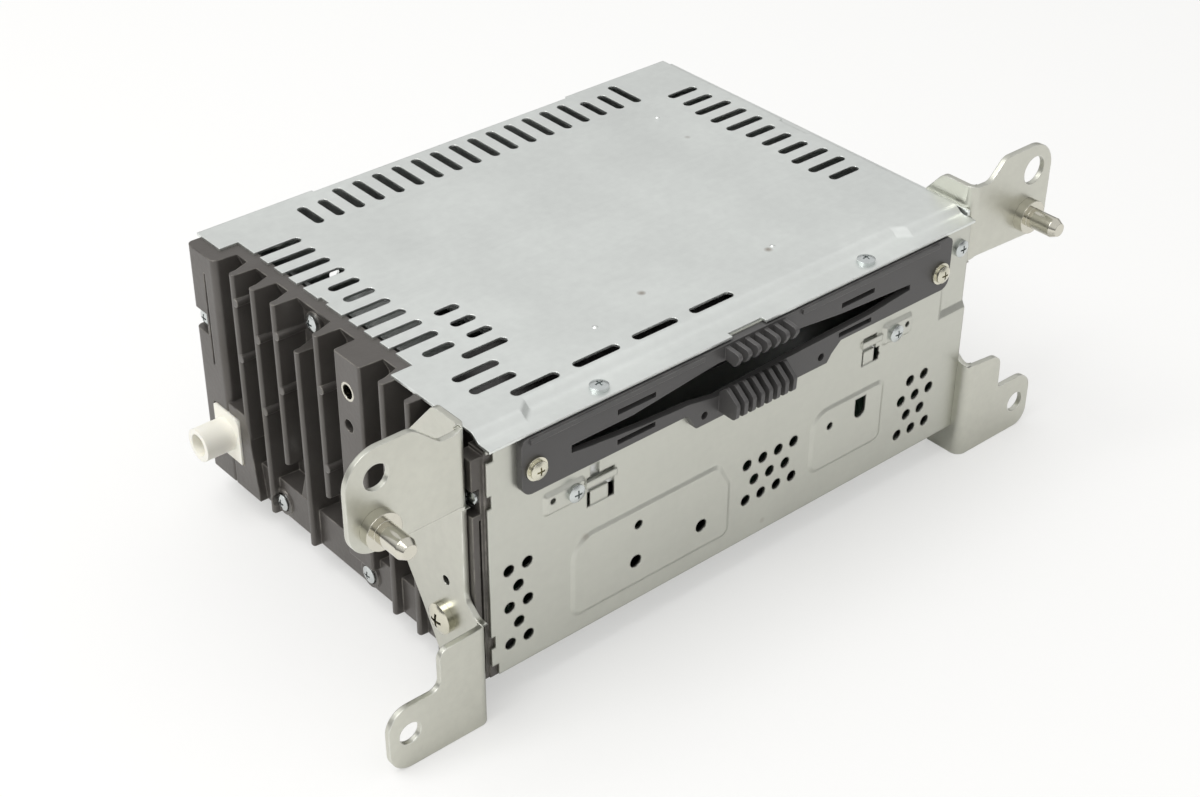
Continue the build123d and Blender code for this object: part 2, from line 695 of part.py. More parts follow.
# Brackets: zinc-plated steel, a side plate with an upper and a lower flange bent outwards
upper_flange_y = front + 1.5
lower_flange_y = front - 4.2
bend_outer = 3.0
bend_inner = bend_outer - bracket_sheet
pin_radius = 3.0
pin_collar_radius = 5.15
pin_collar_height = 3.0
pin_length = 10.0
pin_tip_radius = 2.0
bracket_top = unit_height + 6.0
bracket_bottom = -8.8
upper_flange_low = bracket_top - 24.4
lower_flange_high = 23.6
left_pin_point = (left - 31.2, bracket_top - 16.6)
right_pin_point = (right + 25.0, bracket_top - 16.8)
left_upper_hole = (left - 30.6, bracket_top - 2.7, 3.6)
left_lower_hole = (left - 29.4, 2.1, 3.3)
right_upper_hole = (right + 26.8, bracket_top - 3.0, 4.4)
right_lower_hole = (right + 25.1, 0.6, 3.3)
small_bracket_hole = (front + 10.9, 29.3, 1.4)
side_outline = [
    (upper_flange_y, bracket_top), (front + 13.3, bracket_top, 3.0),
    (front + 24.7, bracket_top - 13.4, 3.0), (front + 28.1, 25.8, 3.0), (front + 21.6, 15.4),
    (front + 15.2, 3.5, 2.0), (front + 9.0, bracket_bottom, 2.0), (lower_flange_y, bracket_bottom),
    (lower_flange_y, lower_flange_high), (front - 1.0, 23.8, 3.5),
    (front + 3.2, 27.5, 5.0), (front + 3.2, upper_flange_low - 1.5), (upper_flange_y, upper_flange_low),
]


def bend(x, outward, y, low, high):
    # rounds a bend line between a side plate and a flange, outside and inside
    for size, corner_x, corner_y, mode in (
        (bend_outer, x, y, Mode.SUBTRACT),
        (bend_inner, x + outward * bracket_sheet, y + bracket_sheet, Mode.ADD),
    ):
        middle = (corner_x + outward * size / 2, corner_y + size / 2)
        centre = (corner_x + outward * size, corner_y + size)
        with BuildSketch(Plane.XY.offset(low)) as corner:
            with Locations(middle):
                Rectangle(size, size)
            with Locations(centre):
                Circle(size, mode=Mode.SUBTRACT)
        extrude(corner.sketch, amount=high - low, mode=mode)


with BuildPart() as left_bracket:
    prism(side_outline, "x", fin_tip - bracket_sheet, fin_tip)
    prism(
        [(fin_tip, upper_flange_low), (fin_tip, bracket_top), (left - 8.0, bracket_top - 1.2, 3.0),
         (left - 12.0, bracket_top - 1.2, 2.5), (left - 19.8, bracket_top + 5.6, 5.0),
         (left - 39.4, bracket_top + 5.6, 10.0), (left - 39.4, bracket_top - 23.7, 7.5),
         (left - 7.0, bracket_top - 23.1)],
        "y", upper_flange_y, upper_flange_y + bracket_sheet,
    )
    prism(
        [(fin_tip, bracket_bottom), (fin_tip, lower_flange_high), (left - 19.4, 22.8, 3.0),
         (left - 19.4, 10.9, 3.0),
         (left - 35.9, 10.9, 6.5), (left - 35.8, bracket_bottom, 6.5)],
        "y", lower_flange_y, lower_flange_y + bracket_sheet,
    )
    bend(fin_tip, -1, upper_flange_y, upper_flange_low, bracket_top)
    bend(fin_tip, -1, lower_flange_y, bracket_bottom, lower_flange_high)
    for y, z in left_bracket_screw_points:
        rod(
            (fin_tip - bracket_sheet, y, z), (fin_tip, y, z), bracket_shank + fit, mode=Mode.SUBTRACT
        )
    rod(
        (fin_tip - bracket_sheet, small_bracket_hole[0], small_bracket_hole[1]),
        (fin_tip, small_bracket_hole[0], small_bracket_hole[1]), small_bracket_hole[2], mode=Mode.SUBTRACT,
    )
    for (x, z, radius), y in ((left_upper_hole, upper_flange_y), (left_lower_hole, lower_flange_y)):
        rod((x, y, z), (x, y + bracket_sheet, z), radius, mode=Mode.SUBTRACT)
    rod(
        (left_pin_point[0], upper_flange_y, left_pin_point[1]),
        (left_pin_point[0], upper_flange_y + bracket_sheet, left_pin_point[1]),
        pin_radius + press_fit, mode=Mode.SUBTRACT,
    )
left_bracket.part.label = "left_bracket"
export_step(left_bracket.part, "parts/left_bracket.step")

right_bracket_screw_points = [(front + 12.2, 16.7), (front + 18.0, unit_height - 15.4)]

with BuildPart() as right_bracket:
    prism(side_outline, "x", right, right + bracket_sheet)
    prism(
        [(right, upper_flange_low), (right, bracket_top), (right + 7.5, bracket_top - 0.5, 4.0),
         (right + 13.5, bracket_top + 5.4, 4.0), (right + 34.5, bracket_top + 5.4, 9.0),
         (right + 34.3, bracket_top - 24.7, 4.5), (right + 4.0, bracket_top - 23.3)],
        "y", upper_flange_y, upper_flange_y + bracket_sheet,
    )
    prism(
        [(right, bracket_bottom), (right, lower_flange_high), (right + 15.2, 22.0, 4.0),
         (right + 15.6, 9.9, 1.5),
         (right + 31.1, 9.8, 6.0), (right + 31.1, bracket_bottom, 5.0)],
        "y", lower_flange_y, lower_flange_y + bracket_sheet,
    )
    bend(right, 1, upper_flange_y, upper_flange_low, bracket_top)
    bend(right, 1, lower_flange_y, bracket_bottom, lower_flange_high)
    for y, z in right_bracket_screw_points:
        rod((right, y, z), (right + bracket_sheet, y, z), bracket_shank + fit, mode=Mode.SUBTRACT)
    for (x, z, radius), y in ((right_upper_hole, upper_flange_y), (right_lower_hole, lower_flange_y)):
        rod((x, y, z), (x, y + bracket_sheet, z), radius, mode=Mode.SUBTRACT)
    rod(
        (right_pin_point[0], upper_flange_y, right_pin_point[1]),
        (right_pin_point[0], upper_flange_y + bracket_sheet, right_pin_point[1]),
        pin_radius + press_fit, mode=Mode.SUBTRACT,
    )
right_bracket.part.label = "right_bracket"
export_step(right_bracket.part, "parts/right_bracket.step")

with BuildPart() as left_bracket_screws:
    for y, z in left_bracket_screw_points:
        screw(
            (fin_tip - bracket_sheet, y, z), (-1, 0, 0),
            bracket_head, bracket_head_height, bracket_shank, 10.0,
        )
left_bracket_screws.part.label = "left_bracket_screws"
export_step(left_bracket_screws.part, "parts/left_bracket_screws.step")

with BuildPart() as right_bracket_screws:
    for y, z in right_bracket_screw_points:
        screw(
            (right + bracket_sheet, y, z), (1, 0, 0),
            bracket_head, bracket_head_height, bracket_shank, 6.0,
        )
right_bracket_screws.part.label = "right_bracket_screws"
export_step(right_bracket_screws.part, "parts/right_bracket_screws.step")


def locating_pin(x, z):
    # riveted through the flange; the collar and the pin stand to the front
    rod((x, upper_flange_y - pin_collar_height, z), (x, upper_flange_y, z), pin_collar_radius)
    shoulder = upper_flange_y - pin_collar_height - pin_length + 2.0
    rod((x, shoulder, z), (x, upper_flange_y + bracket_sheet, z), pin_radius)
    rod((x, shoulder, z), (x, shoulder - 2.0, z), pin_radius, end_radius=pin_tip_radius)
    rod(
        (x, upper_flange_y + bracket_sheet, z), (x, upper_flange_y + bracket_sheet + 0.8, z),
        pin_radius + 1.2,
    )


with BuildPart() as left_locating_pin:
    locating_pin(*left_pin_point)
left_locating_pin.part.label = "left_locating_pin"
export_step(left_locating_pin.part, "parts/left_locating_pin.step")

with BuildPart() as right_locating_pin:
    locating_pin(*right_pin_point)
right_locating_pin.part.label = "right_locating_pin"
export_step(right_locating_pin.part, "parts/right_locating_pin.step")

# Shell: right side panel, bottom plate and rear panel, all folded steel
side_inner = right - sheet
rear_front = back - sheet
flange_in = 8.0
board_post_points = [
    (left + 16.0, front + 14.0), (right - 12.0, front + 14.0),
    (left + 16.0, back - 26.0), (right - 12.0, back - 52.0),
]
post_radius = 2.5
post_shank = 1.6
board_bottom = 7.0
board_thickness = 1.6
board_top = board_bottom + board_thickness
rear_screw_z = (16.0, 58.0)

with BuildPart() as right_side_panel:
    block(side_inner, right, front + sheet, rear_front, 0, cover_under)
    block(
        side_inner, right, front + sheet, front + recess_depth + sheet,
        recess_bottom - recess_slope, cover_under, mode=Mode.SUBTRACT,
    )
    block(right - 4.5, right, front + 9.0, rear_front, cover_under - sheet, cover_under)
    block(side_inner - flange_in, side_inner, front + sheet, rear_front, sheet, 2 * sheet)
    block(
        side_inner - flange_in, side_inner, front + recess_depth + sheet,
        front + recess_depth + 2 * sheet, recess_screw[1] - 6.0, strip_under - 2.0,
    )
    block(side_inner - flange_in, side_inner, rear_front - sheet, rear_front, 4.0, cover_under - 4.0)
    rod(
        (recess_screw[0], front + 2, recess_screw[1]), (recess_screw[0], front + 4, recess_screw[1]),
        small_shank + fit, mode=Mode.SUBTRACT,
    )
    for y, z in right_bracket_screw_points:
        rod((side_inner, y, z), (right, y, z), bracket_shank + fit, mode=Mode.SUBTRACT)
    for z in rear_screw_z:
        rod(
            (right - 5.0, rear_front - sheet, z), (right - 5.0, rear_front, z), small_shank + fit,
            mode=Mode.SUBTRACT,
        )
right_side_panel.part.label = "right_side_panel"
export_step(right_side_panel.part, "parts/right_side_panel.step")

with BuildPart() as bottom_plate:
    block(heatsink_inner, side_inner, front + sheet, rear_front, 0, sheet)
    block(heatsink_inner, heatsink_inner + sheet, front + 40.0, front + 104.0, sheet, 9.0)
    for x, y in board_post_points:
        rod((x, y, 0), (x, y, sheet), post_shank + press_fit, mode=Mode.SUBTRACT)
    for x, y, z in wall_screws[:2]:
        rod((heatsink_inner, y, z), (heatsink_inner + sheet, y, z), small_shank + fit, mode=Mode.SUBTRACT)
    with BuildSketch(Plane.XY):
        with GridLocations(14.0, 26.0, 8, 3):
            SlotOverall(9.0, 3.0)
    extrude(amount=sheet, mode=Mode.SUBTRACT)
bottom_plate.part.label = "bottom_plate"
export_step(bottom_plate.part, "parts/bottom_plate.step")

# Rear sockets: each socket body stands through its own cut-out in the rear panel
harness_x = (left + 26.0, left + 86.0)
harness_z = (board_top, board_top + 22.0)
video_x = (left + 92.0, left + 112.0)
video_z = (board_top, board_top + 11.0)
antenna_x = right - 28.0
gps_x = right - 48.0
socket_z = board_top + 7.0
antenna_radius = 6.0
antenna_half = 6.5
gps_half = 4.5
rear_gap = 0.3
# the deck's rear posts stand beside the sockets
deck_post_points = [
    (harness_x[0] - 4.95, deck_back - 6.0),
    ((gps_x + gps_half + antenna_x - antenna_half) / 2, deck_back - 6.0),
]

with BuildPart() as rear_panel:
    block(heatsink_inner, side_inner, rear_front, back, 0, cover_under)
    block(heatsink_inner, heatsink_inner + sheet, back - 11.0, rear_front, 12.0, cover_under - 4.0)
    block(
        harness_x[0] - rear_gap, harness_x[1] + rear_gap, rear_front, back,
        harness_z[0] - rear_gap, harness_z[1] + rear_gap, mode=Mode.SUBTRACT,
    )
    block(
        video_x[0] - rear_gap, video_x[1] + rear_gap, rear_front, back,
        video_z[0] - rear_gap, video_z[1] + rear_gap, mode=Mode.SUBTRACT,
    )
    rod(
        (antenna_x, rear_front, socket_z), (antenna_x, back, socket_z), antenna_radius + rear_gap,
        mode=Mode.SUBTRACT,
    )
    block(
        gps_x - gps_half - rear_gap, gps_x + gps_half + rear_gap, rear_front, back,
        socket_z - gps_half - rear_gap, socket_z + gps_half + rear_gap, mode=Mode.SUBTRACT,
    )
    for z in rear_screw_z:
        rod((right - 5.0, rear_front, z), (right - 5.0, back, z), small_shank + fit, mode=Mode.SUBTRACT)
    rod(
        (heatsink_inner, wall_screws[4][1], wall_screws[4][2]),
        (heatsink_inner + sheet, wall_screws[4][1], wall_screws[4][2]), small_shank + fit,
        mode=Mode.SUBTRACT,
    )
    with BuildSketch(Plane.XZ.offset(-back)):
        with Locations((0, 54.0)):
            with GridLocations(7.0, 7.0, 14, 3):
                Circle(1.75)
    extrude(amount=sheet, mode=Mode.SUBTRACT)
rear_panel.part.label = "rear_panel"
export_step(rear_panel.part, "parts/rear_panel.step")

with BuildPart() as rear_panel_screws:
    for z in rear_screw_z:
        screw((right - 5.0, back, z), (0, 1, 0), small_head, small_head_height, small_shank, 4.0)
rear_panel_screws.part.label = "rear_panel_screws"
export_step(rear_panel_screws.part, "parts/rear_panel_screws.step")

# Main board on its posts, with the parts that stand on it
board_left = heatsink_inner + 1.4
board_right = side_inner - 1.0
board_front = front + 8.0
board_back = rear_front - 1.0

with BuildPart() as board_standoffs:
    for x, y in board_post_points:
        rod((x, y, sheet), (x, y, board_bottom), post_radius)
        rod((x, y, 0), (x, y, sheet), post_shank)
        rod((x, y, board_bottom - 4.0), (x, y, board_bottom), 1.2 + fit, mode=Mode.SUBTRACT)
board_standoffs.part.label = "board_standoffs"
export_step(board_standoffs.part, "parts/board_standoffs.step")

with BuildPart() as main_board:
    block(board_left, board_right, board_front, board_back, board_bottom, board_top)
    for x, y in board_post_points:
        rod((x, y, board_bottom), (x, y, board_top), 1.2 + fit, mode=Mode.SUBTRACT)
    for x, y in deck_post_points:
        rod((x, y, board_bottom), (x, y, board_top), 4.0, mode=Mode.SUBTRACT)
main_board.part.label = "main_board"
export_step(main_board.part, "parts/main_board.step")

with BuildPart() as board_screws:
    for x, y in board_post_points:
        screw((x, y, board_top), (0, 0, 1), 2.4, 1.5, 1.2, board_thickness + 3.5)
board_screws.part.label = "board_screws"
export_step(board_screws.part, "parts/board_screws.step")

chip_thickness = 4.0
chip_fronts = (front + 58.0, front + 84.0)
chip_length = 18.0
chip_bottom = 13.0
chip_height = 15.0
clamp_sheet = 1.5

with BuildPart() as amplifier_chips:
    for y in chip_fronts:
        block(
            heatsink_inner, heatsink_inner + chip_thickness, y, y + chip_length,
            chip_bottom, chip_bottom + chip_height,
        )
        for k in range(7):
            pin_y = y + 2.0 + 2.3 * k
            block(
                heatsink_inner + 2.0, heatsink_inner + 2.6, pin_y, pin_y + 0.7, board_top, chip_bottom
            )
amplifier_chips.part.label = "amplifier_chips"
export_step(amplifier_chips.part, "parts/amplifier_chips.step")

with BuildPart() as chip_clamp:
    block(
        heatsink_inner + chip_thickness, heatsink_inner + chip_thickness + clamp_sheet,
        chip_fronts[0] + 1.0, chip_fronts[1] + chip_length - 1.0, 20.0, 30.0,
    )
    rod(
        (heatsink_inner, wall_screws[2][1], wall_screws[2][2]),
        (heatsink_inner + chip_thickness + clamp_sheet, wall_screws[2][1], wall_screws[2][2]), 2.6,
    )
    rod(
        (heatsink_inner, wall_screws[2][1], wall_screws[2][2]),
        (heatsink_inner + chip_thickness + clamp_sheet, wall_screws[2][1], wall_screws[2][2]),
        small_shank + fit, mode=Mode.SUBTRACT,
    )
chip_clamp.part.label = "chip_clamp"
export_step(chip_clamp.part, "parts/chip_clamp.step")

with BuildPart() as filter_capacitors:
    for x, y, radius, headroom in (
        (left + 30.0, front + 66.0, 8.0, 7.4), (left + 30.0, front + 86.0, 6.5, 10.4),
        (left + 47.0, front + 92.0, 5.0, 15.4),
    ):
        top = deck_under - headroom
        rod((x, y, board_top), (x, y, top), radius)
        rod((x, y, top - 0.4), (x, y, top), radius - 1.0, mode=Mode.SUBTRACT)
filter_capacitors.part.label = "filter_capacitors"
export_step(filter_capacitors.part, "parts/filter_capacitors.step")

shield_sheet = 0.5
shield_height = 6.0

with BuildPart() as processor_shield:
    block(-22.0, 28.0, -35.0, 11.0, board_top, board_top + shield_height)
    block(
        -22.0 + shield_sheet, 28.0 - shield_sheet, -35.0 + shield_sheet, 11.0 - shield_sheet,
        board_top, board_top + shield_height - shield_sheet, mode=Mode.SUBTRACT,
    )
    with BuildSketch(Plane.XY.offset(board_top)):
        with Locations((3.0, -12.0)):
            with GridLocations(8.0, 8.0, 4, 4):
                Circle(1.5)
    extrude(amount=shield_height, mode=Mode.SUBTRACT)
processor_shield.part.label = "processor_shield"
export_step(processor_shield.part, "parts/processor_shield.step")

tuner_front = back - 44.0

with BuildPart() as tuner_module:
    block(antenna_x - 14.0, antenna_x + 14.0, tuner_front, tuner_front + 26.0, board_top, board_top + 14.0)
    for k in range(5):
        y = tuner_front + 4.0 + 4.0 * k
        block(
            antenna_x - 10.0, antenna_x + 10.0, y, y + 1.2, board_top + 13.5, board_top + 14.0,
            mode=Mode.SUBTRACT,
        )
tuner_module.part.label = "tuner_module"
export_step(tuner_module.part, "parts/tuner_module.step")

with BuildPart() as antenna_socket:
    block(
        antenna_x - antenna_half, antenna_x + antenna_half, tuner_front + 26.0, rear_front - 0.5,
        board_top, socket_z + antenna_half,
    )
    rod((antenna_x, rear_front - 0.5, socket_z), (antenna_x, back + 3.0, socket_z), antenna_radius)
    rod(
        (antenna_x, back - 9.0, socket_z), (antenna_x, back + 3.0, socket_z), 4.2, mode=Mode.SUBTRACT
    )
    rod((antenna_x, back - 9.0, socket_z), (antenna_x, back - 3.0, socket_z), 1.2)
antenna_socket.part.label = "antenna_socket"
export_step(antenna_socket.part, "parts/antenna_socket.step")

with BuildPart() as gps_socket:
    block(
        gps_x - gps_half, gps_x + gps_half, back - 14.0, back + 4.0, board_top, socket_z + gps_half
    )
    rod((gps_x, back - 4.0, socket_z), (gps_x, back + 4.0, socket_z), 3.4, mode=Mode.SUBTRACT)
    rod((gps_x, back - 4.0, socket_z), (gps_x, back - 1.0, socket_z), 0.8)
    block(
        gps_x - gps_half, gps_x + gps_half, back - sheet - 0.3, back + 4.0, board_top,
        socket_z - gps_half, mode=Mode.SUBTRACT,
    )
gps_socket.part.label = "gps_socket"
export_step(gps_socket.part, "parts/gps_socket.step")

harness_wall = 1.6

with BuildPart() as harness_connector:
    block(harness_x[0], harness_x[1], back - 20.0, back + 2.0, harness_z[0], harness_z[1])
    block(
        harness_x[0] + harness_wall, harness_x[1] - harness_wall, back - 10.0, back + 2.0,
        harness_z[0] + harness_wall, harness_z[1] - harness_wall, mode=Mode.SUBTRACT,
    )
    for row in range(2):
        for k in range(12):
            x = harness_x[0] + 4.5 + 4.6 * k
            z = harness_z[0] + 7.5 + 7.0 * row
            block(x - 0.4, x + 0.4, back - 11.0, back - 3.0, z - 0.4, z + 0.4)
harness_connector.part.label = "harness_connector"
export_step(harness_connector.part, "parts/harness_connector.step")

with BuildPart() as video_connector:
    block(video_x[0], video_x[1], back - 16.0, back + 1.5, video_z[0], video_z[1])
    block(
        video_x[0] + 1.2, video_x[1] - 1.2, back - 7.0, back + 1.5, video_z[0] + 1.2, video_z[1] - 1.2,
        mode=Mode.SUBTRACT,
    )
    for k in range(6):
        x = video_x[0] + 3.7 + 2.5 * k
        block(x - 0.3, x + 0.3, back - 8.0, back - 2.0, video_z[0] + 5.2, video_z[0] + 5.8)
video_connector.part.label = "video_connector"
export_step(video_connector.part, "parts/video_connector.step")

with BuildPart() as gyro_sensor:
    block(right - 50.0, right - 38.0, front + 18.0, front + 30.0, board_top, board_top + 6.0)
    fillet(edges().filter_by(Axis.Z), 1.0)
gyro_sensor.part.label = "gyro_sensor"
export_step(gyro_sensor.part, "parts/gyro_sensor.step")

# Deck: the tray that carries the disc mechanism, screwed to the front panel and stood on two posts
wall_top = slot_z + 4.4
wall_back_top = slot_z + 9.4
roller_y = front + 14.0
roller_z = slot_z - 6.6
roller_shaft_radius = 1.5
bush_radius = 3.0
bush_flange = 4.2
clamp_pivot_y = back - 14.0
clamp_pivot_z = slot_z + 6.5
pivot_radius = 1.5
deck_opening = (disc_x - 21.0, disc_x + 59.0, disc_y - 16.0, disc_y + 28.0)
gear_module = 0.6
roller_teeth = 22
idler_teeth = 18
pinion_teeth = 10
mesh_play = 0.12
roller_pitch = gear_module * roller_teeth / 2
idler_pitch = gear_module * idler_teeth / 2
pinion_pitch = gear_module * pinion_teeth / 2
idler_angle = math.radians(-30)
pinion_angle = math.radians(-15)
idler_y = roller_y + (roller_pitch + idler_pitch + mesh_play) * math.cos(idler_angle)
idler_z = roller_z + (roller_pitch + idler_pitch + mesh_play) * math.sin(idler_angle)
pinion_y = idler_y + (idler_pitch + pinion_pitch + mesh_play) * math.cos(pinion_angle)
pinion_z = idler_z + (idler_pitch + pinion_pitch + mesh_play) * math.sin(pinion_angle)
loading_motor_radius = 6.0
loading_motor_length = 20.0
motor_boss = 2.5
idler_pin_radius = 1.0

with BuildPart() as deck_frame:
    block(deck_left, deck_right, deck_front, deck_back, deck_under, deck_floor)
    block(
        deck_opening[0], deck_opening[1], deck_opening[2], deck_opening[3], deck_under, deck_floor,
        mode=Mode.SUBTRACT,
    )
    block(
        deck_right - loading_motor_length - 2.0, deck_right - deck_sheet,
        pinion_y - loading_motor_radius - 1.0, pinion_y + loading_motor_radius + 1.0,
        deck_under, deck_floor, mode=Mode.SUBTRACT,
    )
    block(deck_left, deck_right, deck_front, deck_front + deck_sheet, deck_under, deck_under + 8.5)
    for x0 in (deck_left, deck_right - deck_sheet):
        block(x0, x0 + deck_sheet, deck_front, deck_back, deck_under, wall_top)
        block(x0, x0 + deck_sheet, clamp_pivot_y - 7.0, clamp_pivot_y + 6.0, wall_top, wall_back_top)
        rod(
            (x0, roller_y, roller_z), (x0 + deck_sheet, roller_y, roller_z), bush_radius + press_fit,
            mode=Mode.SUBTRACT,
        )
        rod(
            (x0, clamp_pivot_y, clamp_pivot_z), (x0 + deck_sheet, clamp_pivot_y, clamp_pivot_z),
            pivot_radius + press_fit, mode=Mode.SUBTRACT,
        )
    rod(
        (deck_right - deck_sheet, pinion_y, pinion_z), (deck_right, pinion_y, pinion_z), motor_boss + fit,
        mode=Mode.SUBTRACT,
    )
    rod(
        (deck_right - deck_sheet, idler_y, idler_z), (deck_right, idler_y, idler_z),
        idler_pin_radius + press_fit, mode=Mode.SUBTRACT,
    )
    for x, z in (left_pad_screw, right_pad_screw):
        rod(
            (x, deck_front, z), (x, deck_front + deck_sheet, z), small_shank + fit, mode=Mode.SUBTRACT
        )
    for x, y in deck_post_points:
        rod((x, y, deck_under), (x, y, deck_floor), 1.6 + press_fit, mode=Mode.SUBTRACT)
deck_frame.part.label = "deck_frame"
export_step(deck_frame.part, "parts/deck_frame.step")

with BuildPart() as deck_posts:
    for x, y in deck_post_points:
        rod((x, y, sheet), (x, y, deck_under), 3.0)
        rod((x, y, deck_under), (x, y, deck_floor), 1.6)
deck_posts.part.label = "deck_posts"
export_step(deck_posts.part, "parts/deck_posts.step")

# Upper disc guide: a plastic plate across the deck walls, with ribs that keep the disc level
guide_thickness = 2.0
guide_back = front + 42.0
lever_pivot_y = front + 36.0
lever_pivot_x = 60.0
lever_pin_radius = 1.5
lever_reach_x = 35.0
lever_reach_y = 12.0
lever_sheet = 1.2
lever_top = wall_top - 0.3
lever_drop = 4.8

with BuildPart() as upper_disc_guide:
    block(deck_left, deck_right, deck_front + 5.0, guide_back, wall_top, wall_top + guide_thickness)
    for side in (-1, 1):
        x = disc_x + side * (disc_radius + 1.5)
        block(x - 1.0, x + 1.0, deck_front + 5.0, deck_front + 20.0, wall_top - 1.8, wall_top)
        rod(
            (disc_x + side * lever_pivot_x, lever_pivot_y, wall_top),
            (disc_x + side * lever_pivot_x, lever_pivot_y, wall_top + guide_thickness),
            lever_pin_radius + press_fit, mode=Mode.SUBTRACT,
        )
upper_disc_guide.part.label = "upper_disc_guide"
export_step(upper_disc_guide.part, "parts/upper_disc_guide.step")


def disc_lever(side):
    # a flat lever with a pin at its tip that the edge of the disc pushes aside
    pivot_x = disc_x + side * lever_pivot_x
    tip_x = pivot_x - side * lever_reach_x
    tip_y = lever_pivot_y - lever_reach_y
    low = lever_top - lever_sheet
    for x, y in ((pivot_x, lever_pivot_y), (tip_x, tip_y)):
        rod((x, y, low), (x, y, lever_top), 3.5)
    length = math.hypot(lever_reach_x, lever_reach_y)
    nx = 2.2 * lever_reach_y / length
    ny = 2.2 * lever_reach_x / length * side
    prism(
        [(pivot_x + nx, lever_pivot_y - ny), (tip_x + nx, tip_y - ny), (tip_x - nx, tip_y + ny),
         (pivot_x - nx, lever_pivot_y + ny)],
        "z", low, lever_top,
    )
    rod((tip_x, tip_y, low - lever_drop), (tip_x, tip_y, low), 1.4)
    rod(
        (pivot_x, lever_pivot_y, low), (pivot_x, lever_pivot_y, lever_top), lever_pin_radius + fit,
        mode=Mode.SUBTRACT,
    )


with BuildPart() as left_disc_lever:
    disc_lever(-1)
left_disc_lever.part.label = "left_disc_lever"
export_step(left_disc_lever.part, "parts/left_disc_lever.step")

with BuildPart() as right_disc_lever:
    disc_lever(1)
right_disc_lever.part.label = "right_disc_lever"
export_step(right_disc_lever.part, "parts/right_disc_lever.step")

with BuildPart() as lever_pivot_pins:
    for side in (-1, 1):
        x = disc_x + side * lever_pivot_x
        low = lever_top - lever_sheet - 0.1
        rod((x, lever_pivot_y, low), (x, lever_pivot_y, wall_top + guide_thickness), lever_pin_radius)
        rod((x, lever_pivot_y, low - 0.8), (x, lever_pivot_y, low), 2.6)
lever_pivot_pins.part.label = "lever_pivot_pins"
export_step(lever_pivot_pins.part, "parts/lever_pivot_pins.step")

# Loading roller on its shaft, driven through a spur train by the loading motor
roller_end_radius = 4.0
roller_middle_radius = 3.4
roller_half = 57.0
gear_left = deck_right + 1.4
gear_face = 3.0

with BuildPart() as loading_roller:
    for side in (-1, 1):
        rod(
            (disc_x + side * roller_half, roller_y, roller_z), (disc_x, roller_y, roller_z),
            roller_end_radius, end_radius=roller_middle_radius,
        )
    rod(
        (disc_x - roller_half, roller_y, roller_z), (disc_x + roller_half, roller_y, roller_z),
        roller_shaft_radius + press_fit, mode=Mode.SUBTRACT,
    )
loading_roller.part.label = "loading_roller"
export_step(loading_roller.part, "parts/loading_roller.step")

with BuildPart() as roller_shaft:
    rod(
        (deck_left - 2.0, roller_y, roller_z), (gear_left + gear_face + 0.8, roller_y, roller_z),
        roller_shaft_radius,
    )
roller_shaft.part.label = "roller_shaft"
export_step(roller_shaft.part, "parts/roller_shaft.step")

with BuildPart() as roller_bushes:
    for x0, inner in ((deck_left, deck_left + deck_sheet), (deck_right, deck_right - deck_sheet)):
        reach = 1.0 if inner > x0 else -1.0
        rod((x0, roller_y, roller_z), (inner, roller_y, roller_z), bush_radius)
        rod((inner, roller_y, roller_z), (inner + reach, roller_y, roller_z), bush_flange)
        rod(
            (x0, roller_y, roller_z), (inner + reach, roller_y, roller_z), roller_shaft_radius + fit,
            mode=Mode.SUBTRACT,
        )
roller_bushes.part.label = "roller_bushes"
export_step(roller_bushes.part, "parts/roller_bushes.step")


def spur_gear(y, z, teeth, phase, low, high, bore):
    # straight-sided teeth about a line along X
    pitch_radius = gear_module * teeth / 2
    tip = pitch_radius + 0.75 * gear_module
    root = pitch_radius - 1.1 * gear_module
    points = []
    for k in range(teeth):
        middle = phase + 2 * math.pi * k / teeth
        half = math.pi / teeth
        for radius, part in ((root, -0.62), (tip, -0.24), (tip, 0.24), (root, 0.62)):
            angle = middle + half * part
            points.append((y + radius * math.cos(angle), z + radius * math.sin(angle)))
    prism(points, "x", low, high)
    rod((low, y, z), (high, y, z), bore, mode=Mode.SUBTRACT)


idler_phase = idler_angle + math.pi + math.pi / idler_teeth
idler_offset = (pinion_angle - idler_phase) % (2 * math.pi / idler_teeth)
pinion_phase = pinion_angle + math.pi + idler_offset * idler_teeth / pinion_teeth + math.pi / pinion_teeth

with BuildPart() as roller_gear:
    spur_gear(
        roller_y, roller_z, roller_teeth, idler_angle, gear_left, gear_left + gear_face,
        roller_shaft_radius + press_fit,
    )
roller_gear.part.label = "roller_gear"
export_step(roller_gear.part, "parts/roller_gear.step")

with BuildPart() as idler_gear:
    spur_gear(
        idler_y, idler_z, idler_teeth, idler_phase, gear_left, gear_left + gear_face,
        idler_pin_radius + fit,
    )
idler_gear.part.label = "idler_gear"
export_step(idler_gear.part, "parts/idler_gear.step")

with BuildPart() as idler_pin:
    rod(
        (deck_right - deck_sheet, idler_y, idler_z), (gear_left + gear_face + 0.1, idler_y, idler_z),
        idler_pin_radius,
    )
    rod((deck_right, idler_y, idler_z), (gear_left - 0.1, idler_y, idler_z), 2.0)
    rod(
        (gear_left + gear_face + 0.1, idler_y, idler_z), (gear_left + gear_face + 0.8, idler_y, idler_z),
        1.8,
    )
idler_pin.part.label = "idler_pin"
export_step(idler_pin.part, "parts/idler_pin.step")

with BuildPart() as motor_pinion:
    spur_gear(
        pinion_y, pinion_z, pinion_teeth, pinion_phase, gear_left, gear_left + gear_face, 0.8 + press_fit
    )
motor_pinion.part.label = "motor_pinion"
export_step(motor_pinion.part, "parts/motor_pinion.step")

